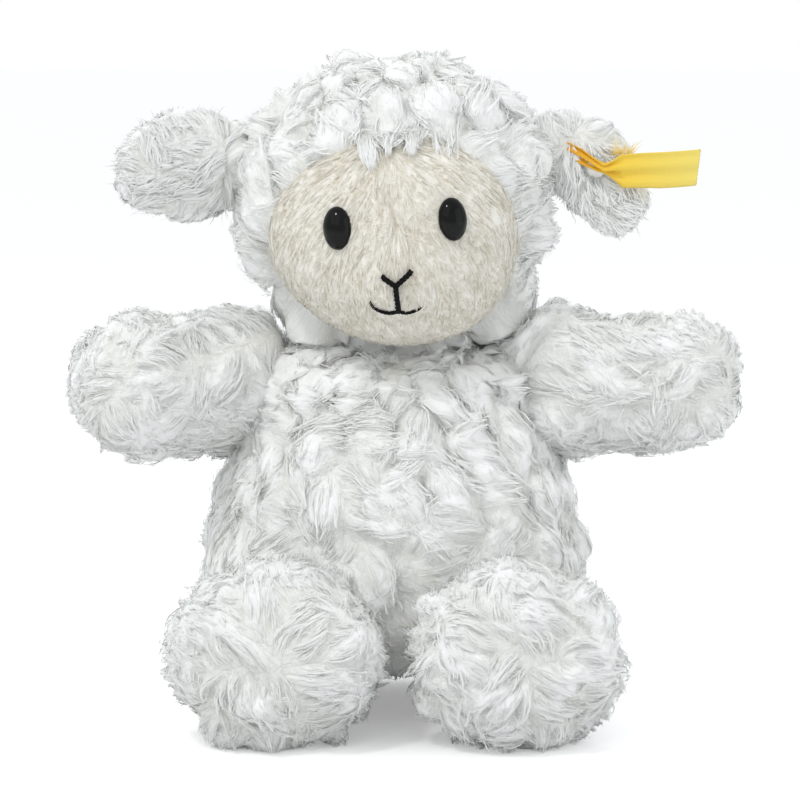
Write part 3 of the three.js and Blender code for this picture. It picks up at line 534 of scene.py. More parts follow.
def muzzle_at(x, z):
    return MUZZLE_RISE * np.exp(-((x / MUZZLE_SPREAD) ** 2) - ((z - MUZZLE_HEIGHT) / MUZZLE_TALL) ** 2)


def face_depth_at(x, z, inset=0.0):
    """How far ahead the face's surface is, at a place across and up in the head's frame."""
    share = 1 - (x / FACE_HALF[0]) ** 2 - ((z - FACE_MIDDLE[2]) / FACE_HALF[2]) ** 2
    dome = (FACE_HALF[1] - inset) * np.sqrt(np.maximum(share, 0))
    dents = sum(1.3 * np.exp(-((x - ex) / 4.5) ** 2 - ((z - ez) / 6.5) ** 2) for ex, ez in EYE_SPOTS.values())
    crease = 0.5 * np.exp(-(x / 2.2) ** 2) * smooth_share((z - 22) / 8)
    return FACE_MIDDLE[1] - dome - muzzle_at(x, z) + dents * 0.5 + crease


def face_edge(x, z):
    """1 where the hood's pile meets the face; the edge is squarish and a little higher on one side."""
    half = 31.4
    high = z - 22.8 - 0.07 * x
    return (np.abs((x + 2.4) / half) ** 2.5 + np.abs(high / 28.2) ** 2.5) ** 0.4


rings = []
for turn in (7, 20, 34, 47, 59, 70, 79, 87, 97, 112, 130, 150, 168):
    a = math.radians(turn)
    depth = FACE_HALF[1] if turn < 90 else FACE_BACK_HALF
    rings.append((depth * math.cos(a), FACE_HALF[0] * math.sin(a), FACE_HALF[2] * math.sin(a), 0, 0))
rings.reverse()
face_skin = lofted("face_skin", rings, corners=24)
lay = Matrix.Translation(Vector(FACE_MIDDLE) * MM) @ Matrix.Rotation(math.pi / 2, 4, "X")
face_skin = placed(face_skin, lay)
points = points_of(face_skin) - FACE_MIDDLE
halves = np.where(points[:, 1:2] < 0, FACE_HALF[1], FACE_BACK_HALF)
halves = np.concatenate([np.full((len(points), 1), FACE_HALF[0]), halves, np.full((len(points), 1), FACE_HALF[2])], 1)
points *= ((halves - FACE_INSET) / halves) / np.linalg.norm(points / halves, axis=1, keepdims=True)
points += FACE_MIDDLE
ahead = smooth_share((FACE_MIDDLE[1] - points[:, 1]) / 12)
x, z = points[:, 0], points[:, 2]
bare = FACE_MIDDLE[1] - FACE_HALF[1] * np.sqrt(
    np.maximum(1 - (x / FACE_HALF[0]) ** 2 - ((z - FACE_MIDDLE[2]) / FACE_HALF[2]) ** 2, 0))
points[:, 1] += ahead * (face_depth_at(x, z) - bare)
points[:, 1] += 11 * smooth_share((face_edge(x, z) - 0.96) / 0.3) * smooth_share((z - 2) / 14)
chin = smooth_share((18 - z) / 22)
points[:, 0] += 2.6 * chin
points[:, 2] -= 1.8 * chin
move_points(face_skin, points)
face_skin = placed(face_skin, head_place)
outwards(face_skin)
print(face_skin.name, [round(v, 3) for v in face_skin.dimensions], len(face_skin.data.polygons), "faces")

# %% [markdown]
# ## The pile
# Real plush has thousands of thin curly fibres. They stick together in locks, and the locks lean
# together in tufts, so the cloth looks carved into soft lobes. The lobes are raised on the skin
# first, and then fibres grow along them. One fibre is modelled: a thin three-sided spindle, flat
# so that it lies along its lock, thickest low down and closed in a point at both ends. It has few
# faces, because it is copied by the thousand, and each copy is bent along its own path.

# %% One fibre
FIBRE_RINGS = ((1 / 3, 1.0), (2 / 3, 0.8))
FIBRE_FLATNESS = 0.3
FIBRE_LIT_SHARE = 2.2
bpy.ops.object.select_all(action="DESELECT")
bpy.ops.mesh.primitive_circle_add(
    vertices=3, radius=FIBRE_RINGS[0][1], fill_type="NOTHING", location=(0, 0, FIBRE_RINGS[0][0]))
fibre = bpy.context.active_object
fibre.name = "fibre"
bpy.ops.object.mode_set(mode="EDIT")
bpy.ops.mesh.select_all(action="SELECT")
for (z0, r0), (z1, r1) in zip(FIBRE_RINGS, FIBRE_RINGS[1:]):
    bpy.ops.mesh.extrude_region_move(TRANSFORM_OT_translate={"value": (0, 0, z1 - z0)})
    bpy.ops.transform.resize(value=(r1 / r0, r1 / r0, 1))
bpy.ops.mesh.extrude_region_move(TRANSFORM_OT_translate={"value": (0, 0, 1 - FIBRE_RINGS[-1][0])})
bpy.ops.mesh.merge(type="CENTER")
bpy.ops.mesh.select_all(action="DESELECT")
bpy.ops.mesh.select_non_manifold()
bpy.ops.mesh.extrude_region_move(TRANSFORM_OT_translate={"value": (0, 0, -FIBRE_RINGS[0][0])})
bpy.ops.mesh.merge(type="CENTER")
bpy.ops.mesh.select_all(action="SELECT")
bpy.ops.transform.resize(value=(1, FIBRE_FLATNESS, 1), center_override=(0, 0, 0))
bpy.ops.object.mode_set(mode="OBJECT")
bpy.ops.object.transform_apply(location=True, rotation=True, scale=True)
outwards(fibre)
fibre_points = np.array([v.co for v in fibre.data.vertices])
fibre_level = np.rint(fibre_points[:, 2] * 3).astype(int)
fibre_faces = [list(p.vertices) for p in fibre.data.polygons]
fibre_ways = np.array([p.normal for p in fibre.data.polygons])[:, :2]
fibre_ways = np.repeat(fibre_ways / np.linalg.norm(fibre_ways, axis=1, keepdims=True), [len(f) for f in fibre_faces], 0)
bpy.data.objects.remove(fibre)
print("one fibre:", len(fibre_points), "vertices,", len(fibre_faces), "faces")

# %% How a fibre lies on its map: across is the way round, and up is from root to tip
fibre_map = []
for face in fibre_faces:
    ring = [i for i in face if 0 < fibre_level[i] < 3]
    turns = [math.atan2(fibre_points[i][1], fibre_points[i][0]) / math.tau % 1 for i in ring]
    low, high = min(turns), max(turns)
    if high - low > 0.5:
        turns = [t + 1 if t < 0.5 else t for t in turns]
        low, high = min(turns), max(turns)
    spread = dict(zip(ring, [(t - low) / max(high - low, 1e-6) for t in turns]))
    fibre_map += [(spread.get(i, 0.5), fibre_points[i][2]) for i in face]
fibre_map = np.array(fibre_map)

# %% Smooth noise, and turning a direction within a surface


def noise(points, wavelength, seed):
    """A smooth value from about -1 to 1 at each point; it varies over the wavelength, in mm."""
    draw = np.random.default_rng(seed)
    ways = draw.normal(size=(6, 3))
    ways /= np.linalg.norm(ways, axis=1, keepdims=True)
    pace = math.tau / wavelength * draw.uniform(0.6, 1.5, (6, 1))
    phase = draw.uniform(0, math.tau, 6)
    return np.sin(points @ (ways * pace).T + phase).sum(1) / 2.6


def unit(vectors):
    return vectors / np.maximum(np.linalg.norm(vectors, axis=1, keepdims=True), 1e-9)


def along_surface(vectors, normals):
    return unit(vectors - (vectors * normals).sum(1, keepdims=True) * normals)


def turned(ways, normals, angles):
    angles = np.asarray(angles)[:, None]
    return ways * np.cos(angles) + np.cross(normals, ways) * np.sin(angles)


def tree_of(points):
    tree = KDTree(len(points))
    for i, point in enumerate(points):
        tree.insert(point, i)
    tree.balance()
    return tree


def nearest(points, targets):
    tree = tree_of(targets)
    return np.array([tree.find(p)[1] for p in points])


# %% Points on a skin


class Skin:
    """A skin's triangles, in mm, for drawing points on it and finding its surface again."""

    def __init__(self, piece):
        mesh = piece.data
        mesh.calc_loop_triangles()
        self.points = points_of(piece)
        self.normals = np.empty(len(mesh.vertices) * 3)
        mesh.vertices.foreach_get("normal", self.normals)
        self.normals = self.normals.reshape(-1, 3)
        corners = np.empty(len(mesh.loop_triangles) * 3, int)
        mesh.loop_triangles.foreach_get("vertices", corners)
        self.corners = corners.reshape(-1, 3)
        a, b, c = (self.points[self.corners[:, k]] for k in range(3))
        self.areas = np.linalg.norm(np.cross(b - a, c - a), axis=1) / 2
        self.tree = BVHTree.FromPolygons(self.points.tolist(), self.corners.tolist())

    def draw(self, count, draw):
        chosen = draw.choice(len(self.areas), count, p=self.areas / self.areas.sum())
        u, v = draw.random(count), draw.random(count)
        over = u + v > 1
        u[over], v[over] = 1 - u[over], 1 - v[over]
        shares = np.stack([1 - u - v, u, v], 1)[:, :, None]
        points = (self.points[self.corners[chosen]] * shares).sum(1)
        normals = unit((self.normals[self.corners[chosen]] * shares).sum(1))
        return points, normals

    def back_on(self, points):
        """The nearest points of the skin, and its normals there."""
        found = [self.tree.find_nearest(p) for p in points]
        on = np.array([f[0] for f in found])
        corner = self.corners[[f[2] for f in found]]
        a, b, c = (self.points[corner[:, k]] for k in range(3))
        whole = np.cross(b - a, c - a)
        size = np.maximum((whole * whole).sum(1), 1e-12)
        wa = (np.cross(b - on, c - on) * whole).sum(1) / size
        wb = (np.cross(c - on, a - on) * whole).sum(1) / size
        shares = np.clip(np.stack([wa, wb, 1 - wa - wb], 1), 0, 1)[:, :, None]
        return on, unit((self.normals[corner] * shares).sum(1))

    def depth(self, points):
        """How far inside the skin each point is; it is negative outside."""
        on, normals = self.back_on(points)
        return ((on - points) * normals).sum(1)


# %% Combing a skin into locks
LOCK_SAMPLES = np.linspace(0, 1, 9)
LOCK_NEIGHBOURS = 12


class Locks:
    """Locks of pile on a skin. Each is a ridge over a path of feet on the skin, in mm."""

    def __init__(self, skin, flow, seed, length=9.0, height=3.4, tuft=7.5, lock=2.3, whirl=1.2,
                 whirl_size=16, pull=0.45, wave=0.9, rough=0.25, swell=None):
        draw = np.random.default_rng(seed)
        area = skin.areas.sum()
        whirl_at = whirl if callable(whirl) else (lambda points: whirl)
        tuft_at, tuft_up = skin.draw(int(area / tuft ** 2 * 1.3), draw)
        swirl = noise(tuft_at, whirl_size, seed + 1) * whirl_at(tuft_at)
        swirl = swirl + draw.normal(0, rough, len(tuft_at))
        tuft_way = turned(along_surface(flow(tuft_at, tuft_up), tuft_up), tuft_up, swirl)
        tuft_lift = draw.uniform(0.6, 1.2, len(tuft_at))

        start, up = skin.draw(int(area / lock ** 2 * 1.3), draw)
        whose = nearest(start, tuft_at)
        own = along_surface(flow(start, up), up)
        own = turned(own, up, noise(start, whirl_size, seed + 1) * whirl_at(start))
        way = along_surface(tuft_way[whose] * 0.7 + own * 0.3 + draw.normal(0, 0.14, own.shape), up)
        beside = np.abs(((start - tuft_at[whose]) * np.cross(tuft_up, tuft_way)[whose]).sum(1))
        across = np.clip(beside / (tuft * 0.6), 0, 1)
        rise = height * tuft_lift[whose] * (1 - 0.5 * across ** 2) * draw.uniform(0.82, 1.18, len(start))
        reach = length * draw.uniform(0.75, 1.2, len(start))
        side = np.cross(up, way)
        bend = draw.normal(0, wave, len(start))
        phase = draw.uniform(0, math.tau, len(start))
        feet, ups = [], []
        for t in LOCK_SAMPLES:
            ahead = (reach * t)[:, None]
            curl = (bend * math.sin(t * math.pi * 0.8) + wave * 0.5 * np.sin(5 * t + phase) * t)[:, None]
            at = start + way * ahead + side * curl
            tip = tuft_at[whose] + tuft_way[whose] * ahead
            on, on_up = skin.back_on(at + (tip - at) * pull * t ** 1.5)
            feet.append(on)
            ups.append(on_up)
        self.feet, self.ups = np.stack(feet, 1), np.stack(ups, 1)
        shape = 0.3 + 0.7 * np.sin(math.pi * 0.62 * LOCK_SAMPLES)
        self.rises = rise[:, None] * shape
        taper = (0.8 + 0.35 * np.sin(math.pi * LOCK_SAMPLES)) * (1 - 0.3 * LOCK_SAMPLES)
        self.widths = np.broadcast_to(lock * 0.85 * taper, self.rises.shape)
        self.height = height
        self.lifted = (lambda points: 0.8 * height * (swell(points) - 1)) if swell is not None else (lambda points: 0)
        self.tree = tree_of(self.feet.reshape(-1, 3))

    def at(self, points):
        """At points of the skin: how high the lobes stand, and which lock lies on top and where along it."""
        found = np.array([[f[1] for f in self.tree.find_n(p, LOCK_NEIGHBOURS)] for p in points])
        near = self.feet.reshape(-1, 3)[found]
        apart = ((near - points[:, None]) ** 2).sum(2)
        lobes = self.rises.reshape(-1)[found] * (1 - apart / self.widths.reshape(-1)[found] ** 2)
        top = lobes.argmax(1)
        chosen = found[np.arange(len(points)), top]
        value = (np.maximum(lobes, 0) ** 12).sum(1) ** (1 / 12)
        value = np.maximum(value, 0.34 * self.height) + self.lifted(points)
        return value, chosen // len(LOCK_SAMPLES), LOCK_SAMPLES[chosen % len(LOCK_SAMPLES)]

    def along(self, which, t):
        """Foot, up, rise and width of some locks at their own share t; past 1 a lock runs straight on."""
        last = len(LOCK_SAMPLES) - 1
        place = np.clip(t, 0, 1) * last
        low = np.minimum(place.astype(int), last - 1)
        part = (place - low)[:, None]
        foot = self.feet[which, low] * (1 - part) + self.feet[which, low + 1] * part
        up = unit(self.ups[which, low] * (1 - part) + self.ups[which, low + 1] * part)
        rise = self.rises[which, low] * (1 - part[:, 0]) + self.rises[which, low + 1] * part[:, 0]
        rise = rise + self.lifted(foot)
        width = self.widths[which, low]
        over = np.maximum(t - 1, 0)[:, None] * last
        foot = foot + (self.feet[which, last] - self.feet[which, last - 1]) * over
        return foot, up, rise, width


def raise_lobes(piece, skin, locks, smoothings=2, keep_clear=None, below=0.45):
    """Moves the skin's vertices out by the lobes, and stores for its finish how high and how combed they are."""
    value, which, start = locks.at(skin.points)
    foot, up, _, _ = locks.along(which, start)
    ahead, _, _, _ = locks.along(which, np.minimum(start + 0.1, 1.1))
    beside = ((skin.points - foot) * np.cross(up, unit(ahead - foot))).sum(1)
    combed = np.stack([beside + (which % 7) * 0.35, start * 9, which % 5 * 0.5], 1)
    layer = piece.data.attributes.new("comb", "FLOAT_VECTOR", "POINT")
    layer.data.foreach_set("vector", combed.astype(np.float32).ravel())
    height = spread_over(piece, (value - locks.lifted(skin.points)) / locks.height, smoothings)
    if keep_clear is not None:
        value = value * keep_clear(skin.points)
    value = np.maximum(spread_over(piece, value, smoothings) - below, 0)
    points = skin.points + skin.normals * value[:, None]
    points[:, 2] = np.maximum(points[:, 2], FLOOR_CLEARANCE)
    move_points(piece, points)
    layer = piece.data.attributes.new("lobe", "FLOAT", "POINT")
    layer.data.foreach_set("value", height.astype(np.float32))
    print(piece.name, len(piece.data.polygons), "faces, lobes up to", round(float(value.max()), 2), "mm")


# %% Growing fibres along the locks
MAP_COLUMNS = 32
STEPS = np.array([0, 1 / 3, 2 / 3, 1])
FLOOR_CLEARANCE = 0.3


def grow_pile(name, skin, locks, count, keep=None, shade=None, seed=1, width=0.17, clump=0.4,
              mess=0.45, lift=0.9, span=(0.45, 0.8), strays=0.12, stray_lift=1.3, gap_shade=0.4, tints=0.2):
    """Fibres that lie along the locks of a skin, as one mesh."""
    draw = np.random.default_rng(seed)
    root, root_up = skin.draw(count, draw)
    if keep is not None:
        kept = keep(root, root_up)
        root, root_up = root[kept], root_up[kept]
    value, which, start = locks.at(root)
    number = len(root)
    reach = draw.uniform(*span, number)
    stray = draw.random(number) < strays
    foot, _, _, _ = locks.along(which, start)
    offset = root - foot
    loose = draw.normal(0, 1, (number, 3))
    lifts = draw.random(number) * lift + np.where(stray, draw.random(number) * stray_lift, 0)
    paths = [root + root_up * (value - 1.1)[:, None]]
    for s in STEPS[1:]:
        t = np.minimum(start + reach * s, 1.22)
        foot, up, rise, breadth = locks.along(which, t)
        aside = offset * (1 - clump * s) + loose * (mess * s * np.where(stray, 2.2, 1))[:, None]
        bow = np.clip(1 - (aside ** 2).sum(1) / breadth ** 2, 0.1, 1)
        fall = locks.lifted(foot)
        high = np.maximum((rise - fall) * bow + fall, value * (1 - s)) + 0.06 + lifts * s
        paths.append(foot + aside + up * high[:, None])
    paths = np.stack(paths)
    paths[1:, :, 2] = np.maximum(paths[1:, :, 2], FLOOR_CLEARANCE + 0.4 * draw.random(paths[1:].shape[:2]))
    paths[0, :, 2] = np.maximum(paths[0, :, 2], FLOOR_CLEARANCE)
    # Fibres rooted low between the lobes take darker columns of the map, as painted shade in the gaps between lobes; a
    # random tint is added on top.
    deep = np.clip(1.0 - (value - locks.lifted(root)) / locks.height, 0, 1) * gap_shade
    if shade is not None:
        deep = deep + shade(root)
    columns = (np.clip(deep, 0, 0.99 - tints) + draw.random(number) ** 2 * tints) * MAP_COLUMNS
    return fibres_along(name, paths, root_up, width * draw.uniform(0.7, 1.2, number), columns.astype(int))


def fibres_along(name, paths, ups, widths, columns):
    """Copies of the fibre, one along each path of four points, as one mesh."""
    count = paths.shape[1]
    ways = paths[[1, 2, 3, 3]] - paths[[0, 0, 1, 2]]
    ways /= np.maximum(np.linalg.norm(ways, axis=2, keepdims=True), 1e-9)
    across = np.cross(ups[None] + 1e-3, ways)
    across /= np.maximum(np.linalg.norm(across, axis=2, keepdims=True), 1e-9)
    over = np.cross(ways, across)
    points = np.empty((count, len(fibre_points), 3))
    for i, (x, y, _) in enumerate(fibre_points):
        k = fibre_level[i]
        points[:, i] = paths[k]
        if 0 < k < 3:
            points[:, i] += (across[k] * x + over[k] * y) * widths[:, None]
    mesh = bpy.data.meshes.new(name)
    corners = np.array([i for face in fibre_faces for i in face])
    sizes = np.array([len(face) for face in fibre_faces])
    all_corners = (corners[None] + np.arange(count)[:, None] * len(fibre_points)).ravel()
    all_sizes = np.tile(sizes, count)
    starts = np.concatenate([[0], np.cumsum(all_sizes)[:-1]])
    mesh.vertices.add(count * len(fibre_points))
    mesh.vertices.foreach_set("co", (points * MM).astype(np.float32).ravel())
    mesh.loops.add(len(all_corners))
    mesh.loops.foreach_set("vertex_index", all_corners.astype(np.int32))
    mesh.polygons.add(len(all_sizes))
    mesh.polygons.foreach_set("loop_start", starts.astype(np.int32))
    layer = mesh.uv_layers.new(name="OFBake")
    across_map = (columns[:, None] + 0.2 + 0.6 * fibre_map[None, :, 0]) / MAP_COLUMNS
    up_map = np.broadcast_to(0.02 + 0.96 * fibre_map[None, :, 1], across_map.shape)
    layer.data.foreach_set("uv", np.stack([across_map, up_map], 2).astype(np.float32).ravel())
    mesh.update(calc_edges=True)
    mesh.validate()
    mesh.polygons.foreach_set("use_smooth", np.ones(len(all_sizes), bool))
    rounded = np.empty((count, len(corners), 3), np.float32)
    for i, (corner, (x, y)) in enumerate(zip(corners, fibre_ways)):
        k = fibre_level[corner]
        rounded[:, i] = across[k] * x + over[k] * y + ups * (FIBRE_LIT_SHARE * max(0.0, y))
    mesh.normals_split_custom_set(unit(rounded.reshape(-1, 3)).tolist())
    piece = bpy.data.objects.new(name, mesh)
    bpy.context.scene.collection.objects.link(piece)
    print(name, count, "fibres", count * 12, "triangles")
    return piece


# %% [markdown]
# ## Pile finishes
# The tips are clean white, and the lower half of each fibre is painted warmer and darker, as painted
# shade deep in the pile. Fibres differ a little from each other. The colour is read from the fibre's
# own map, where up is from root to tip and each column is another tint, darker for fibres low between
# the lobes as painted shade, and the skin below is painted darker where its stored lobes are low, as
# painted shade in the hollows.

# %% Groups that the finishes share
PLAIN = (0.8, 0.8, 0.8, 1)
pile_tint, given, out = new_group(
    "pile_tint", [(label, "Color", PLAIN) for label in ("Root", "Middle", "Tip", "Dusk")], [("Colour", "Color")])
place = add_node(pile_tint, "ShaderNodeUVMap", uv_map="OFBake")
parts = add_node(pile_tint, "ShaderNodeSeparateXYZ")
pile_tint.links.new(place.outputs["UV"], parts.inputs[0])
# Root to Tip along the fibre; on the pile the darker, warmer root is painted shade deep in the pile.
lower = spread_to(pile_tint, parts.outputs["Y"], 0, 1, 0.05, 0.4)
upper = spread_to(pile_tint, parts.outputs["Y"], 0, 1, 0.4, 0.85)
body = mixed(pile_tint, upper, mixed(pile_tint, lower, given["Root"], given["Middle"]), given["Tip"])
column = maths(pile_tint, "FLOOR", maths(pile_tint, "MULTIPLY", parts.outputs["X"], MAP_COLUMNS))
chance = add_node(pile_tint, "ShaderNodeTexWhiteNoise", noise_dimensions="1D")
pile_tint.links.new(column, chance.inputs["W"])
varied = add_node(pile_tint, "ShaderNodeVectorMath", operation="SCALE")
pile_tint.links.new(body, varied.inputs[0])
feed(pile_tint, varied.inputs["Scale"], spread_to(pile_tint, chance.outputs["Value"], 0.96, 1.02))
# Dusk is multiplied in by the map's column: painted shade on fibres that lie low between the lobes, and a random tint.
feed(pile_tint, out["Colour"], mixed(pile_tint, parts.outputs["X"], varied.outputs[0], given["Dusk"], "MULTIPLY"))

pile_ground, given, out = new_group(
    "pile_ground", [(label, "Color", PLAIN) for label in ("Deep", "Middle", "Top")],
    [("Colour", "Color"), ("Normal", "Vector")])
height = add_node(pile_ground, "ShaderNodeAttribute", attribute_name="lobe")
combed = add_node(pile_ground, "ShaderNodeAttribute", attribute_name="comb")
drawn_out = add_node(pile_ground, "ShaderNodeMapping")
drawn_out.inputs["Scale"].default_value = (4.2, 0.45, 1)
pile_ground.links.new(combed.outputs["Vector"], drawn_out.inputs["Vector"])
fuzz = noise_of(pile_ground, 1.0, 3, drawn_out.outputs["Vector"])
# Deep to Top by the stored lobe height, with a streaky fuzz: Deep is painted shade in the hollows between the lobes.
total = maths(pile_ground, "ADD", height.outputs["Fac"], spread_to(pile_ground, fuzz, -0.3, 0.3, 0.3, 0.7))
lower = spread_to(pile_ground, total, 0, 1, 0.2, 0.5)
upper = spread_to(pile_ground, total, 0, 1, 0.5, 0.9)
body = mixed(pile_ground, upper, mixed(pile_ground, lower, given["Deep"], given["Middle"]), given["Top"])
feed(pile_ground, out["Colour"], body)
feed(pile_ground, out["Normal"], bumped(pile_ground, fuzz, 0.7, 0.35))

speckle, given, out = new_group(
    "speckle", [("Scale", "Float", 900.0), ("Low", "Float", 0.0), ("High", "Float", 1.0)],
    [("Value", "Float"), ("Normal", "Vector")])
grain = noise_of(speckle, given["Scale"], 4)
feed(speckle, out["Value"], spread_to(speckle, grain, given["Low"], given["High"], 0.3, 0.7))
feed(speckle, out["Normal"], bumped(speckle, grain, 0.25, 0.1))

woven, given, out = new_group(
    "woven", [("Place", "Vector", (0, 0, 0)), ("Along", "Float", 90.0), ("Across", "Float", 24.0),
              ("Strength", "Float", 0.5)], [("Height", "Float"), ("Normal", "Vector")])
parts = add_node(woven, "ShaderNodeSeparateXYZ")
woven.links.new(given["Place"], parts.inputs[0])
along = maths(woven, "MULTIPLY", parts.outputs["X"], given["Along"])
across = maths(woven, "MULTIPLY", parts.outputs["Y"], given["Across"])
warp = maths(woven, "ABSOLUTE", maths(woven, "SINE", maths(woven, "MULTIPLY", along, math.pi)))
weft = maths(woven, "ABSOLUTE", maths(woven, "SINE", maths(woven, "MULTIPLY", across, math.pi)))
cells = maths(woven, "ADD", maths(woven, "FLOOR", along), maths(woven, "FLOOR", across))
over = maths(woven, "FLOORED_MODULO", cells, 2.0)
height = maths(woven, "ADD", maths(woven, "MULTIPLY", warp, over),
               maths(woven, "MULTIPLY", weft, maths(woven, "SUBTRACT", 1.0, over)))
feed(woven, out["Height"], height)
feed(woven, out["Normal"], bumped(woven, height, given["Strength"], 0.15))

spun, given, out = new_group("spun", [("Scale", "Float", 900.0)], [("Value", "Float"), ("Normal", "Vector")])
twist = add_node(spun, "ShaderNodeTexWave", bands_direction="DIAGONAL")
feed(spun, twist.inputs["Scale"], given["Scale"])
twist.inputs["Distortion"].default_value = 3
spun.links.new(add_node(spun, "ShaderNodeTexCoord").outputs["Object"], twist.inputs["Vector"])
feed(spun, out["Value"], twist.outputs["Fac"])
feed(spun, out["Normal"], bumped(spun, twist.outputs["Fac"], 0.6, 0.12))
print("node groups:", [g.name for g in bpy.data.node_groups])

# %% Pile materials


def pile_material(name, root, middle, tip, dusk, roughness=0.8):
    material, tree, shader = new_material(name)
    tint = use_group(tree, pile_tint, Root=(*root, 1), Middle=(*middle, 1), Tip=(*tip, 1), Dusk=(*dusk, 1))
    feed(tree, shader.inputs["Base Color"], tint["Colour"])
    shader.inputs["Roughness"].default_value = roughness
    shader.inputs["Specular IOR Level"].default_value = 0.2
    shader.inputs["Sheen Weight"].default_value = 0.25
    shader.inputs["Sheen Roughness"].default_value = 0.5
    return material


def skin_material(name, deep, middle, top):
    material, tree, shader = new_material(name)
    ground = use_group(tree, pile_ground, Deep=(*deep, 1), Middle=(*middle, 1), Top=(*top, 1))
    feed(tree, shader.inputs["Base Color"], ground["Colour"])
    feed(tree, shader.inputs["Normal"], ground["Normal"])
    shader.inputs["Roughness"].default_value = 0.9
    shader.inputs["Specular IOR Level"].default_value = 0.1
    shader.inputs["Sheen Weight"].default_value = 0.2
    return material


# Root and Dusk of the piles are painted shade deep in the pile and between the lobes; Deep of the cloths is painted
# shade in the hollows.
white_pile = pile_material(
    "white_pile", (0.86, 0.855, 0.82), (0.955, 0.96, 0.95), (0.975, 0.985, 0.985), (0.80, 0.80, 0.755))
cream_pile = pile_material(
    "cream_pile", (0.58, 0.52, 0.41), (0.86, 0.82, 0.73), (0.965, 0.95, 0.905), (0.70, 0.655, 0.56))
white_cloth = skin_material("white_cloth", (0.78, 0.775, 0.73), (0.90, 0.90, 0.88), (0.955, 0.965, 0.96))
cream_cloth = skin_material("cream_cloth", (0.66, 0.60, 0.48), (0.83, 0.785, 0.69), (0.92, 0.89, 0.825))

# %% Skins wear their cloth, ride their bodies and stand for the plain casings


def finish_skin(skin, body, nodes, cloth=None):
    skin.data.materials.clear()
    skin.data.materials.append(cloth or white_cloth)
    only(skin)
    bpy.ops.object.shade_smooth()
    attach(skin, body)
    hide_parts(*nodes)


def finish_pile(pile, body, material=None):
    pile.data.materials.append(material or white_pile)
    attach(pile, body)


# %% [markdown]
# ## Combing the pile
# On the torso the pile falls down in swirling tufts. On the limbs it runs to the paw and whirls
# round a crown there. On the head it runs back from the face, and a fringe falls over the brow.

# %% Shrunken copies of the bare skins, for the filling inside them
FILLING_INSET = 1.8
bare_shapes = {}
for body, skin in [("torso", torso_skin), ("head", head_skin)] + [
        (f"{limb}_{name}", skins[name]) for limb, skins in (("arm", arm_skins), ("leg", leg_skins)) for name in SIDES]:
    only(skin)
    bpy.ops.object.duplicate()
    copy = bpy.context.active_object
    copy.name = f"{body}_filling"
    normals = np.array([v.normal for v in copy.data.vertices])
    move_points(copy, points_of(copy) - normals * FILLING_INSET)
    bare_shapes[body] = copy
print("fillings:", list(bare_shapes))

# %% Torso pile
torso_bare = Skin(torso_skin)
limb_seats = [(pivot_of(f"shoulder_{n}_raise"), 17) for n in SIDES]
limb_seats += [(pivot_of(f"hip_{n}_lift"), 20) for n in SIDES] + [(neck, 14)]


def down(points, normals):
    return np.broadcast_to([0.0, 0.0, -1.0], points.shape)


def clear_of_seats(points, normals=None):
    kept = np.ones(len(points), bool)
    for place, radius in limb_seats:
        kept &= np.linalg.norm(points - np.array(place), axis=1) > radius - 5
    return kept


def pressed_by_seats(points):
    """Lobes are flat where a limb or the head presses on them."""
    share = np.ones(len(points))
    for place, radius in limb_seats:
        share *= smooth_share((np.linalg.norm(points - np.array(place), axis=1) - radius + 6) / 5)
    return share


def torso_front(points, normals):
    return clear_of_seats(points) & (points[:, 1] < seat.y) & (points[:, 2] > 3)


def torso_back(side):
    def kept(points, normals):
        here = (points[:, 1] >= seat.y) & (side * (points[:, 0] - seat.x) >= 0) & (points[:, 2] > 3)
        return clear_of_seats(points) & here
    return kept


def torso_whirl(points):
    ahead = smooth_share((seat.y + 5 - points[:, 1]) / 25)
    middle = smooth_share(1.6 - np.abs(points[:, 0] - seat.x) / 28)
    return 0.6 + 1.2 * ahead * middle


def torso_swell(points):
    """The pile stands higher on the shoulders, at the neck and round the roots of the limbs."""
    high = smooth_share((points[:, 2] - 78) / 12)
    shoulder = np.exp(-((np.abs(points[:, 0] - seat.x) - 31) / 10) ** 2)
    swell = 1 + high * (0.5 + 1.7 * shoulder)
    for place, radius in limb_seats[:4]:
        apart = np.linalg.norm(points - np.array(place), axis=1) - radius
        swell += 0.45 * np.exp(-(apart / 6) ** 2)
    return swell


torso_locks = Locks(torso_bare, down, seed=11, whirl=torso_whirl, length=9.5, height=4.4, swell=torso_swell)
raise_lobes(torso_skin, torso_bare, torso_locks, keep_clear=pressed_by_seats)
finish_skin(torso_skin, "torso", ["torso_casing"])
# The torso's pile is painted darker in the gaps between its lobes than the limbs' and head's, as painted shade.
finish_pile(grow_pile("torso_front_pile", torso_bare, torso_locks, 34000, torso_front, seed=12, gap_shade=0.78), "torso")
for name, side in SIDES.items():
    finish_pile(grow_pile(
        f"torso_back_pile_{name}", torso_bare, torso_locks, 26000, torso_back(side), seed=15 + side,
        gap_shade=0.78), "torso")



def torso_collar(points, normals):
    return (clear_of_seats(points) | (points[:, 2] > 90)) & (points[:, 2] > 78) & (points[:, 1] < seat.y + 12)


# The collar's pile is painted darker in its gaps than the limbs', as painted shade.
finish_pile(grow_pile(
    "torso_collar_pile", torso_bare, torso_locks, 26000, torso_collar, seed=18, mess=0.8, lift=1.4, gap_shade=0.6), "torso")

# %% Arm, leg and tail pile
def limb_flow(way, crown, crown_radius, turn=0.5):
    """Along the limb to the paw, and out from the crown in a whirl."""
    way, crown = np.array(way), np.array(crown)

    def flow(points, normals):
        away = points - crown
        ring = turned(along_surface(away, normals), normals, np.full(len(points), turn))
        near = smooth_share(1.6 - np.linalg.norm(away, axis=1) / crown_radius)[:, None]
        return way * (1 - near) + ring * near
    return flow


def outside_torso(margin):
    def kept(points, normals):
        return torso_bare.depth(points) < margin
    return kept


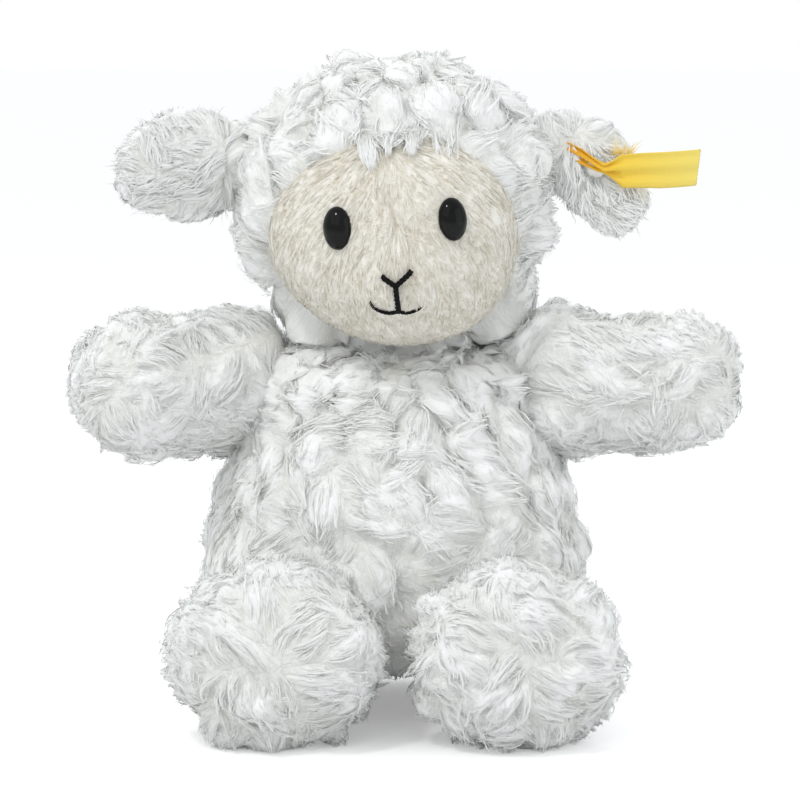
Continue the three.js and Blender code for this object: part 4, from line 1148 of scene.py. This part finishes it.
def free_of_torso(points):
    return smooth_share((4 - torso_bare.depth(points)) / 6)


def fuller_at(root, way, rise=0.0, tip=0.0):
    """The pile of a limb stands higher at its root, where it covers the seam, and on top there."""
    def swell(points):
        away = points - np.array(root)
        along = away @ np.array(way)
        above = smooth_share(away[:, 2] / 12) * smooth_share(1 - along / 19)
        return 1 + 0.45 * np.exp(-(along / 9) ** 2) + rise * above + tip * smooth_share((along - 34) / 8)
    return swell


for name, side in SIDES.items():
    place = pivot_of(f"shoulder_{name}_raise")
    crown = place + arm_ways[name] * 42 + Vector((-side * 3, -13, -1))
    bare = Skin(arm_skins[name])
    locks = Locks(
        bare, limb_flow(arm_ways[name], crown, 15), seed=31 + side, length=8, height=4.4, whirl=1.0, pull=0.25,
        swell=fuller_at(place, arm_ways[name], rise=1.2, tip=0.6 * (side > 0)))
    raise_lobes(arm_skins[name], bare, locks, keep_clear=free_of_torso)
    finish_skin(arm_skins[name], f"arm_{name}", [f"arm_{name}_casing"])
    finish_pile(grow_pile(
        f"arm_{name}_pile", bare, locks, 11500, outside_torso(7), seed=33 + side), f"arm_{name}")
    place = pivot_of(f"hip_{name}_lift")
    crown = place + leg_ways[name] * 28 + Vector((0, 0, -1))
    bare = Skin(leg_skins[name])
    locks = Locks(
        bare, limb_flow(leg_ways[name], crown, 22), seed=41 + side, length=8, height=5.2, whirl=1.0, pull=0.25,
        swell=fuller_at(place, leg_ways[name]))
    raise_lobes(leg_skins[name], bare, locks, keep_clear=free_of_torso)
    finish_skin(leg_skins[name], f"leg_{name}", [f"leg_{name}_casing"])
    finish_pile(grow_pile(
        f"leg_{name}_pile", bare, locks, 12500, outside_torso(4), seed=43 + side), f"leg_{name}")
bare = Skin(tail_skin)
locks = Locks(
    bare, limb_flow(tail_way, pivot_of("tail_lift") + tail_way * 17, 5), seed=51, length=6, height=2.2,
    tuft=5, lock=1.8)
raise_lobes(tail_skin, bare, locks, keep_clear=free_of_torso)
finish_skin(tail_skin, "tail", ["tail"])
finish_pile(grow_pile("tail_pile", bare, locks, 2200, seed=52), "tail")

# %% Head pile
head_bare = Skin(head_skin)
to_head = np.array(head_place.inverted())
face_front = np.array(head_place @ (Vector((0, -45, 24)) * MM)) / MM


def in_head(points):
    """Points in the head's own frame, in mm."""
    return points @ to_head[:3, :3].T + to_head[:3, 3] / MM


def head_flow(points, normals):
    local = in_head(points)
    fringe = smooth_share((local[:, 2] - 46) / 10) * smooth_share((-local[:, 1] - 2) / 16)
    fringe *= smooth_share(1.5 - np.abs(local[:, 0]) / 22)
    ahead = np.array([0.0, -1.0, -1.0])
    return unit(points - face_front) * (1 - fringe[:, None]) + ahead * fringe[:, None] * 1.4


def hood_share(points):
    """1 on the hood, falling to 0 under the face."""
    local = in_head(points)
    edge = face_edge(local[:, 0], local[:, 2])
    return np.where(local[:, 1] < -10, smooth_share((edge - 0.92) / 0.1), 1.0)


def part_of_hood(part):
    def kept(points, normals):
        local = in_head(points)
        here = {"left": (local[:, 1] < 4) & (local[:, 0] < 0), "right": (local[:, 1] < 4) & (local[:, 0] >= 0),
                "back": local[:, 1] >= 4}[part]
        return (hood_share(points) > 0.1) & (torso_bare.depth(points) < 11) & here
    return kept


def head_swell(points):
    """The pile hangs longest under the cheeks and stands high beside the crown."""
    local = in_head(points)
    low = smooth_share((18 - local[:, 2]) / 14)
    cheek = low * smooth_share((np.abs(local[:, 0]) - 12) / 12) * np.where(local[:, 0] > 0, 1.4, 1)
    beside_ears = 0.0
    for side in SIDES.values():
        apart = np.linalg.norm(local - np.array([side * EAR_ACROSS, -HEAD_ADVANCE, HEAD_RISE + EAR_RISE]), axis=1)
        beside_ears = beside_ears + np.exp(-(apart / 13) ** 2)
    return 1 + 0.6 * low + 1.9 * cheek + 0.9 * beside_ears


head_locks = Locks(head_bare, head_flow, seed=61, length=9, height=5.2, whirl=0.7, swell=head_swell)
raise_lobes(head_skin, head_bare, head_locks, keep_clear=hood_share)
finish_skin(head_skin, "head", ["head_hood"])
for k, part in enumerate(("left", "right", "back")):
    finish_pile(grow_pile(
        f"head_pile_{part}", head_bare, head_locks, (28500, 28500, 22500)[k], part_of_hood(part), seed=62 + k), "head")

# %% Ear pile
for name, side in SIDES.items():
    place = ear_places[name]
    root = np.array(place @ (Vector((side * 6, 0, 0)) * MM)) / MM
    way = np.array(place.to_3x3() @ Vector((side, 0, 0)))

    def ear_flow(points, normals, root=root, way=way):
        return unit(points - root) + way * 0.35
    bare = Skin(ear_skins[name])
    flag_way = np.array(place.to_3x3() @ (Matrix.Rotation(math.radians(-36), 3, "Y") @ Vector((1, 0, 0))))
    rivet_at = np.array(place @ (Vector((14 * side, -6, -0.7)) * MM)) / MM

    def ear_swell(points, rivet_at=rivet_at, root=root, side=side):
        near_root = np.exp(-(np.linalg.norm(points - root, axis=1) / (11 if side > 0 else 14)) ** 2) * (1.0 if side > 0 else 2.6)
        along = (points - rivet_at) @ flag_way
        aside = points - rivet_at - np.outer(along, flag_way)
        under = np.exp(-(np.linalg.norm(aside, axis=1) / 6.5) ** 2) * smooth_share((along + 4) / 3) * (side > 0)
        return 1 + 2.2 * near_root - 0.8 * under
    locks = Locks(
        bare, ear_flow, seed=71 + side, length=7, height=1.8, whirl=0.9, tuft=6, lock=1.8, pull=0.3, swell=ear_swell)
    raise_lobes(ear_skins[name], bare, locks)
    finish_skin(ear_skins[name], f"ear_{name}", [f"ear_{name}"])
    # The ears' pile is painted only a little darker in its gaps, so the ears stay lighter than the torso, as painted
    # light.
    finish_pile(grow_pile(f"ear_{name}_pile", bare, locks, 7500, seed=73 + side, span=(0.5, 0.95), gap_shade=0.15, mess=0.7), f"ear_{name}")

# %% Face pile
face_bare = Skin(face_skin)


def face_flow(points, normals):
    """Down and outwards from the brow, as the photograph's streaks part at the middle."""
    local = in_head(points)
    away = local - np.array([0.0, 0.0, BROW_HEIGHT])
    away[:, 1] = 0
    away[:, 0] *= 1.5
    return away @ np.array(head_place.to_3x3()).T


def on_face(points, normals):
    local = in_head(points)
    return (local[:, 1] < -12) & (face_edge(local[:, 0], local[:, 2]) < 1.12)


face_locks = Locks(
    face_bare, face_flow, seed=81, length=6.0, height=0.85, tuft=2.6, lock=0.85, whirl=0.14,
    whirl_size=14, wave=0.14, pull=0.5, rough=0.07)
raise_lobes(face_skin, face_bare, face_locks, smoothings=1, below=0.1)
finish_skin(face_skin, "head", ["face_panel"], cream_cloth)
# The face's pile is painted darker in the gaps between its locks, as painted shade.
finish_pile(grow_pile(
    "face_pile", face_bare, face_locks, 19500, on_face, seed=82, width=0.125, mess=0.07, lift=0.18, gap_shade=0.7,
    tints=0.5,
    span=(0.6, 1.0), strays=0.02, stray_lift=0.4), "head", cream_pile)

# %% Tufts that hang from the hood at the middle of the brow
# Middle across, lowest height, half width and number of each tuft, in the head's frame
BROW_TUFTS = [(-5.4, 43.2, 2.4, 170), (-1.2, 46.5, 2.6, 120), (6.5, 46.0, 4.2, 300)]
draw = np.random.default_rng(91)
paths = []
for middle, lowest, half, number in BROW_TUFTS:
    x = middle + half * draw.normal(0, 0.55, number)
    low = lowest + 6 * draw.random(number) ** 1.6 + 0.7 * np.abs(x - middle)
    high = 53 + draw.uniform(-1.5, 1, number)
    side = draw.normal(0, 0.5, number)
    course = []
    for s in STEPS:
        z = high + (low - high) * s
        across = x + (middle - x) * 0.75 * s + side * s + 0.9 * np.sin(2.6 * s + 0.4 * x)
        lift = 0.5 + 1.6 * math.sin(math.pi * (0.25 + 0.6 * s)) * draw.uniform(0.3, 1.1, number)
        course.append(np.stack([across, face_depth_at(across, np.minimum(z, 50)) - lift + 1.5 * (s == 0), z], 1))
    paths.append(np.stack(course))
paths = np.concatenate(paths, 1)
turn = np.array(head_place.to_3x3())
paths = paths @ turn.T + np.array(head_place.translation) / MM
ups = np.broadcast_to(turn @ np.array([0, -1, 0.25]), paths[0].shape)
columns = (draw.random(paths.shape[1]) * 16).astype(int)
finish_pile(fibres_along("brow_tufts", paths, ups, 0.16 * draw.uniform(0.7, 1.2, paths.shape[1]), columns), "head")

# %% [markdown]
# ## Eyes
# The eyes are moulded plastic domes, oval and polished, sunk into the nap. A ball is cut in half,
# drawn to an oval and set on the face along the way that the face looks there.

# %% Eyes
EYE_HALF = (3.9, 5.7, 3.0)
EYE_ROLLS = {"left": math.radians(1.5), "right": math.radians(-1.5)}


def face_frame(x, z, lift=0.0, roll=0.0):
    """A place on the face, in the row frame, with +Z of it looking out of the face."""
    step = 0.3
    slope_x = float(face_depth_at(x + step, z) - face_depth_at(x - step, z)) / (2 * step)
    slope_z = float(face_depth_at(x, z + step) - face_depth_at(x, z - step)) / (2 * step)
    way = Vector((slope_x, -1, slope_z)).normalized()
    at = Vector((x, float(face_depth_at(x, z)), z)) + way * lift
    across = Vector((math.cos(roll), 0, -math.sin(roll)))
    across = (across - way * across.dot(way)).normalized()
    turn = Matrix((across, way.cross(across), way)).transposed().to_4x4()
    return head_place @ Matrix.Translation(at * MM) @ turn


eye_gloss, tree, shader = new_material("eye_gloss")
dust = use_group(tree, speckle, Scale=700.0, Low=0.02, High=0.07)
feed(tree, shader.inputs["Roughness"], dust["Value"])
depth = use_group(tree, speckle, Scale=180.0, Low=0.0, High=1.0)
black = mixed(tree, depth["Value"], (0.0012, 0.0012, 0.0014, 1), (0.004, 0.004, 0.004, 1))
feed(tree, shader.inputs["Base Color"], black)
shader.inputs["Specular IOR Level"].default_value = 0.2

for name, side in SIDES.items():
    bpy.ops.object.select_all(action="DESELECT")
    bpy.ops.mesh.primitive_uv_sphere_add(segments=40, ring_count=24, radius=1)
    eye = bpy.context.active_object
    eye.name = f"eye_{name}_dome"
    bpy.ops.object.mode_set(mode="EDIT")
    bpy.ops.mesh.select_all(action="SELECT")
    bpy.ops.mesh.bisect(plane_co=(0, 0, -0.3), plane_no=(0, 0, 1), use_fill=True, clear_inner=True)
    bpy.ops.mesh.select_all(action="SELECT")
    bpy.ops.transform.resize(value=(EYE_HALF[0] * MM, EYE_HALF[1] * MM, EYE_HALF[2] * MM), center_override=(0, 0, 0))
    bpy.ops.object.mode_set(mode="OBJECT")
    placed(eye, face_frame(*EYE_SPOTS[name], lift=-0.15, roll=EYE_ROLLS[name]))
    outwards(eye)
    eye.data.materials.append(eye_gloss)
    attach(eye, "head")
    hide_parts(f"eye_{name}")
    print(eye.name, [round(v, 4) for v in eye.dimensions])

# %% [markdown]
# ## Nose and mouth
# Both are embroidered with thick black yarn. Strands are wound round one another along each
# stitch, and the ends dip into the nap.

# %% Nose and mouth
NOSE_SPOT = (-1.05, HEAD_RISE - 20.3)
NOSE_STITCHES = [
    [(0.0, -0.2), (-1.4, 0.9), (-3.3, 2.4)],
    [(0.1, -0.2), (2.3, 1.5), (4.4, 3.2)],
    [(0.0, 0.1), (0.1, -3.5), (0.2, -7.0)]]
MOUTH_STITCHES = [
    [(0.2, -7.0), (-1.7, -7.3), (-3.6, -7.0), (-5.4, -6.1), (-7.3, -4.6)],
    [(0.2, -7.0), (1.8, -7.5), (3.4, -7.5), (5.2, -6.9), (6.9, -5.9)]]


def smooth_route(points, steps):
    """A soft curve through points, as many steps long."""
    places = np.array(points, float)
    ends = np.concatenate([[2 * places[0] - places[1]], places, [2 * places[-1] - places[-2]]])
    route = []
    for share in np.linspace(0, len(places) - 1, steps):
        k = min(int(share), len(places) - 2)
        t = share - k
        a, b, c, d = ends[k:k + 4]
        route.append(0.5 * (2 * b + (c - a) * t + (2 * a - 5 * b + 4 * c - d) * t ** 2 + (3 * b - a - 3 * c + d) * t ** 3))
    return np.array(route)


def tube(name, route, radius, slim, sides=3):
    """A round tube of that radius along a route in mm, slimmer by a share at each point, closed at both ends."""
    bpy.ops.object.select_all(action="DESELECT")
    bpy.ops.curve.primitive_nurbs_path_add()
    piece = bpy.context.active_object
    piece.name = name
    line = piece.data
    line.splines.clear()
    spline = line.splines.new("POLY")
    spline.points.add(len(route) - 1)
    spline.points.foreach_set("co", np.concatenate([route * MM, np.ones((len(route), 1))], 1).ravel())
    spline.points.foreach_set("radius", slim)
    spline.use_smooth = True
    line.bevel_depth = radius * MM
    line.bevel_resolution = sides
    line.use_fill_caps = True
    bpy.ops.object.convert(target="MESH")
    piece = bpy.context.active_object
    bpy.ops.object.mode_set(mode="EDIT")
    bpy.ops.mesh.select_all(action="SELECT")
    bpy.ops.mesh.remove_doubles(threshold=1e-6)
    bpy.ops.object.mode_set(mode="OBJECT")
    outwards(piece)
    return piece


def yarn(name, stitches, thick, lay, strands=3):
    """Stitches on the face of a few strands each, wound round one another, as one piece."""
    parts = []
    for number, stitch in enumerate(stitches):
        route = smooth_route(stitch, 26)
        length = np.linalg.norm(np.diff(route, axis=0), axis=1).sum()
        for strand in range(strands):
            points = []
            for k, (x, z) in enumerate(route):
                share = k / (len(route) - 1)
                sink = 1.0 * max(0.0, share - 0.86) / 0.14 if number < 2 or thick < 1.2 else 0.0
                turn = math.tau * (strand / strands + share * length / lay)
                frame_there = face_frame(NOSE_SPOT[0] + x, NOSE_SPOT[1] + z, lift=thick * 0.55 - sink)
                ahead = route[min(k + 1, len(route) - 1)] - route[max(k - 1, 0)]
                beside = np.array([-ahead[1], ahead[0]]) / np.linalg.norm(ahead)
                ring = Vector((*(beside * math.cos(turn)), math.sin(turn))) * thick * 0.34
                points.append(frame_there @ (ring * MM) / MM)
            slim = np.ones(len(route)) if thick > 1.2 else 1.15 - 0.75 * np.linspace(0, 1, len(route)) ** 1.6
            parts.append(tube(f"{name}_{number}_{strand}", np.array(points), thick * 0.3, slim))
    only(parts[0])
    for part in parts:
        part.select_set(True)
    bpy.ops.object.join()
    parts[0].name = name
    return parts[0]


black_yarn, tree, shader = new_material("black_yarn")
ply = use_group(tree, spun, Scale=900.0)
feed(tree, shader.inputs["Base Color"], mixed(tree, ply["Value"], (0.002, 0.002, 0.002, 1), (0.008, 0.008, 0.008, 1)))
feed(tree, shader.inputs["Normal"], ply["Normal"])
shader.inputs["Roughness"].default_value = 0.7
shader.inputs["Specular IOR Level"].default_value = 0.15
for name, stitches, thick in (("nose", NOSE_STITCHES, 1.21), ("mouth", MOUTH_STITCHES, 0.85)):
    piece = yarn(f"{name}_yarn", stitches, thick, lay=3.2)
    piece.data.materials.append(black_yarn)
    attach(piece, "head")
    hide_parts(f"{name}_stitch")
    print(piece.name, len(piece.data.polygons), "faces")

# %% [markdown]
# ## Ribbon
# A flat woven ribbon hangs from the rivet. It is gathered into a narrow twist at the ear, where
# its pleats catch the light, and opens to a flat flag with a slanted end. Its selvedges have small
# loops. It is a grid that is extruded along the ribbon, laid in pleats that keep its true width.

# %% Ribbon
RIBBON_WIDTH, RIBBON_LENGTH = 10.0, 37.4
RIBBON_ROWS, RIBBON_COLUMNS = 92, 18
RIBBON_THICKNESS = 0.28
# Along the ribbon: how far it has come, its middle across and up, half its width, its twist and how far it is in front
RIBBON_ROUTE = [
    (0.0, -7.4, 5.3, 1.9, 30, -3.4), (0.1, -3.4, 2.9, 2.2, 25, -0.2), (0.2, 0.4, 0.6, 1.5, 40, 0.5),
    (0.27, 2.4, -0.3, 0.9, 60, 0.9), (0.34, 4.6, -0.9, 2.7, 35, 1.0), (0.42, 7.2, -1.4, 4.5, 14, 1.0),
    (0.7, 17.2, -1.5, 4.87, 13, 0.9), (1.0, 27.6, -1.1, 4.87, 12, 0.6)]
PLEATS = 2
ribbon_place = (
    ear_places["right"] @ Matrix.Translation(Vector((14, 0, -EAR_SAG * (14 / EAR_LENGTH) ** 2)) * MM)
    @ Matrix.Translation(Vector((0, -7.4, 0)) * MM) @ Matrix.Rotation(math.radians(-36), 4, "Y"))
bpy.ops.object.select_all(action="DESELECT")
bpy.ops.mesh.primitive_grid_add(x_subdivisions=RIBBON_ROWS, y_subdivisions=RIBBON_COLUMNS, size=2)
ribbon = bpy.context.active_object
ribbon.name = "ribbon_cloth"
shares = np.array([v.co for v in ribbon.data.vertices])
along, across = (shares[:, 0] + 1) / 2, shares[:, 1]
route = np.array(RIBBON_ROUTE)
middle_x, middle_z, half, twist, ahead_of_ear = (
    np.interp(along, route[:, 0], smooth) for smooth in route[:, 1:].T)
row = np.rint(along * RIBBON_ROWS).astype(int)
column = np.rint((across + 1) / 2 * RIBBON_COLUMNS).astype(int)
edge = np.abs(across) > 0.999
beside = across * half + np.where(edge, np.sign(across) * 0.13 * (row % 2), 0)
gather = np.sqrt(np.maximum((RIBBON_WIDTH / 2 / half) ** 2 - 1, 0))
deep = gather * half / (math.pi * PLEATS) * 1.5 * np.sin(across * math.pi * PLEATS)
deep += 0.5 * np.sin(along * 9) * smooth_share((along - 0.3) / 0.3)
turn = np.radians(twist)
end = smooth_share((along - 0.8) / 0.2)
last = row == RIBBON_ROWS
ahead = middle_x + end * across * 0.75 + np.where(last, 0.22 * (column % 2), 0)
points = np.stack([
    ahead, -(deep * np.cos(turn) + beside * np.sin(turn) + ahead_of_ear), middle_z + beside * np.cos(turn) - deep * np.sin(turn)], 1)
layer = ribbon.data.uv_layers.new(name="OFBake")
for loop in ribbon.data.loops:
    k = loop.vertex_index
    layer.data[loop.index].uv = (0.01 + 0.98 * along[k], 0.01 + 0.98 * (across[k] + 1) / 2)
for other in [m for m in ribbon.data.uv_layers if m.name != "OFBake"]:
    ribbon.data.uv_layers.remove(other)
move_points(ribbon, points)
threads_along = points[np.lexsort((row, column))].reshape(RIBBON_COLUMNS + 1, RIBBON_ROWS + 1, 3)
threads_across = points[np.lexsort((column, row))].reshape(RIBBON_ROWS + 1, RIBBON_COLUMNS + 1, 3)
for label, threads in (("length", threads_along), ("width", threads_across)):
    real = np.linalg.norm(np.diff(threads, axis=1), axis=2).sum(1)
    print("the cloth's own", label, "mm: mean", round(float(real.mean()), 2), "from", real.min().round(2), "to", real.max().round(2))
thick = ribbon.modifiers.new("thick", "SOLIDIFY")
thick.thickness = RIBBON_THICKNESS * MM
thick.offset = 0
apply_modifiers(ribbon)
placed(ribbon, ribbon_place)
outwards(ribbon)

ribbon_weave, tree, shader = new_material("ribbon_weave")
place = add_node(tree, "ShaderNodeUVMap", uv_map="OFBake")
weave = use_group(tree, woven, Along=110.0, Across=30.0, Strength=0.5)
tree.links.new(place.outputs["UV"], tree.nodes[-1].inputs["Place"])
parts = add_node(tree, "ShaderNodeSeparateXYZ")
tree.links.new(place.outputs["UV"], parts.inputs[0])
worn = spread_to(tree, parts.outputs["X"], 0, 1, 0.25, 1.0)
dyed = mixed(tree, spread_to(tree, parts.outputs["X"], 0, 1, 0.05, 0.4), (0.86, 0.42, 0.01, 1), (0.97, 0.64, 0.03, 1))
dyed = mixed(tree, worn, dyed, (0.96, 0.78, 0.17, 1))
threads = spread_to(tree, weave["Height"], 0.88, 1.05)
lit = add_node(tree, "ShaderNodeVectorMath", operation="SCALE")
tree.links.new(dyed, lit.inputs[0])
tree.links.new(threads, lit.inputs["Scale"])
tree.links.new(lit.outputs[0], shader.inputs["Base Color"])
feed(tree, shader.inputs["Normal"], weave["Normal"])
shader.inputs["Roughness"].default_value = 0.6
shader.inputs["Sheen Weight"].default_value = 0.15
ribbon.data.materials.clear()
ribbon.data.materials.append(ribbon_weave)
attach(ribbon, "ribbon")
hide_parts("ear_ribbon")
print(ribbon.name, [round(v, 4) for v in ribbon.dimensions], len(ribbon.data.polygons), "faces")

# %% Frayed threads of the ribbon's cut end, that stand up behind the flag
FRAYED = 46
draw = np.random.default_rng(91)
start = np.stack([draw.uniform(4.5, 9.5, FRAYED), draw.uniform(0.6, 1.2, FRAYED), draw.uniform(2.2, 3.4, FRAYED)], 1)
lean = np.stack([draw.normal(0.25, 0.5, FRAYED), draw.normal(0.1, 0.2, FRAYED), draw.uniform(0.7, 1.2, FRAYED)], 1)
curl = draw.normal(0, 0.5, (FRAYED, 3))
length = draw.uniform(1.8, 4.4, FRAYED)[:, None]
local = np.stack([start + lean * length * t + curl * t ** 2 for t in STEPS])
to_row = np.array(ribbon_place)
paths = local @ to_row[:3, :3].T + to_row[:3, 3] / MM
ups = np.broadcast_to(-to_row[:3, 1], (FRAYED, 3)).copy()
frayed = fibres_along("ribbon_threads", paths, ups, np.full(FRAYED, 0.11), draw.integers(0, MAP_COLUMNS, FRAYED))
frayed.data.materials.append(pile_material(
    "ribbon_thread", (0.92, 0.62, 0.12), (0.94, 0.72, 0.24), (0.95, 0.80, 0.42), (0.92, 0.86, 0.7)))
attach(frayed, "ribbon")

# %% [markdown]
# ## Filling
# Each skin is stuffed with fluffed fibre, which packs in soft lumps, and a small bag of pellets
# weighs the seat down. The skins hide them, and they are made all the same.

# %% Filling and pellet bag
filling_white, tree, shader = new_material("filling_white")
fluff = use_group(tree, speckle, Scale=260.0, Low=0.0, High=1.0)
feed(tree, shader.inputs["Base Color"], mixed(tree, fluff["Value"], (0.86, 0.85, 0.82, 1), (0.94, 0.94, 0.92, 1)))
feed(tree, shader.inputs["Normal"], fluff["Normal"])
shader.inputs["Roughness"].default_value = 0.95
bag_cloth, tree, shader = new_material("bag_cloth")
place = add_node(tree, "ShaderNodeTexCoord")
weave = use_group(tree, woven, Along=1400.0, Across=1400.0, Strength=0.4)
tree.links.new(place.outputs["Object"], tree.nodes[-1].inputs["Place"])
feed(tree, shader.inputs["Base Color"], mixed(tree, weave["Height"], (0.62, 0.60, 0.54, 1), (0.78, 0.76, 0.70, 1)))
feed(tree, shader.inputs["Normal"], weave["Normal"])
shader.inputs["Roughness"].default_value = 0.9


def lumpy(piece, lump, rise, seed, voxel):
    """Remeshes a stuffed piece and presses its surface into soft lumps."""
    remesh = piece.modifiers.new("packed", "REMESH")
    remesh.mode = "VOXEL"
    remesh.voxel_size = voxel * MM
    apply_modifiers(piece)
    points = points_of(piece)
    normals = np.array([v.normal for v in piece.data.vertices])
    move_points(piece, points + normals * (noise(points, lump, seed) * rise)[:, None])
    outwards(piece)


def finish_filling(piece, body, node, material):
    piece.data.materials.clear()
    piece.data.materials.append(material)
    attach(piece, body)
    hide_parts(node)
    print(piece.name, len(piece.data.polygons), "faces")


for number, (body, skin_points) in enumerate(bare_shapes.items()):
    piece = skin_points
    lumpy(piece, 11, 0.45, 200 + number, 3.4)
    finish_filling(piece, body, f"{body}_stuffing", filling_white)

low, high = (Vector(corner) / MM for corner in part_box("seat_pellet_bag"))
bpy.ops.object.select_all(action="DESELECT")
bpy.ops.mesh.primitive_ico_sphere_add(subdivisions=4, radius=1)
bag = bpy.context.active_object
bag.name = "pellet_bag"
bpy.ops.object.mode_set(mode="EDIT")
bpy.ops.mesh.select_all(action="SELECT")
bpy.ops.transform.resize(value=tuple((high - low) / 2 * 0.96 * MM), center_override=(0, 0, 0))
bpy.ops.transform.translate(value=(low + high) / 2 * MM)
bpy.ops.object.mode_set(mode="OBJECT")
lumpy(bag, 3.5, 0.35, 231, 1.6)
print("bag", [round(v, 1) for v in (*low, *high)])
move_points(bag, lifted_between_feet(points_of(bag), 6.5))
finish_filling(bag, "torso", "seat_pellet_bag", bag_cloth)

# %% [markdown]
# ## Threads, washers and rivet
# These rigid and thin pieces keep the model's own solids. The threads are spun, the washers are
# moulded with a fine grain, and the rivet is steel that has been tumbled.

# %% Finishes for the solids that stay
spun_thread, tree, shader = new_material("spun_thread")
ply = use_group(tree, spun, Scale=1100.0)
feed(tree, shader.inputs["Base Color"], mixed(tree, ply["Value"], (0.80, 0.79, 0.76, 1), (0.93, 0.93, 0.91, 1)))
feed(tree, shader.inputs["Normal"], ply["Normal"])
shader.inputs["Roughness"].default_value = 0.8
moulded_washer, tree, shader = new_material("moulded_washer")
grain = use_group(tree, speckle, Scale=2200.0, Low=0.42, High=0.6)
feed(tree, shader.inputs["Roughness"], grain["Value"])
feed(tree, shader.inputs["Normal"], grain["Normal"])
tone = use_group(tree, speckle, Scale=300.0)
feed(tree, shader.inputs["Base Color"], mixed(tree, tone["Value"], (0.78, 0.78, 0.75, 1), (0.85, 0.85, 0.83, 1)))
tumbled_steel, tree, shader = new_material("tumbled_steel")
grain = use_group(tree, speckle, Scale=1800.0, Low=0.22, High=0.4)
feed(tree, shader.inputs["Roughness"], grain["Value"])
feed(tree, shader.inputs["Normal"], grain["Normal"])
tone = use_group(tree, speckle, Scale=500.0)
feed(tree, shader.inputs["Base Color"], mixed(tree, tone["Value"], (0.46, 0.45, 0.43, 1), (0.62, 0.61, 0.59, 1)))
shader.inputs["Metallic"].default_value = 1
for name, node in frame["nodes"].items():
    for mark, material in (("_thread", spun_thread), ("eye_washer", moulded_washer), ("ear_rivet", tumbled_steel)):
        if mark in name:
            node.data.materials.clear()
            node.data.materials.append(material)
            print(name, "is", material.name)
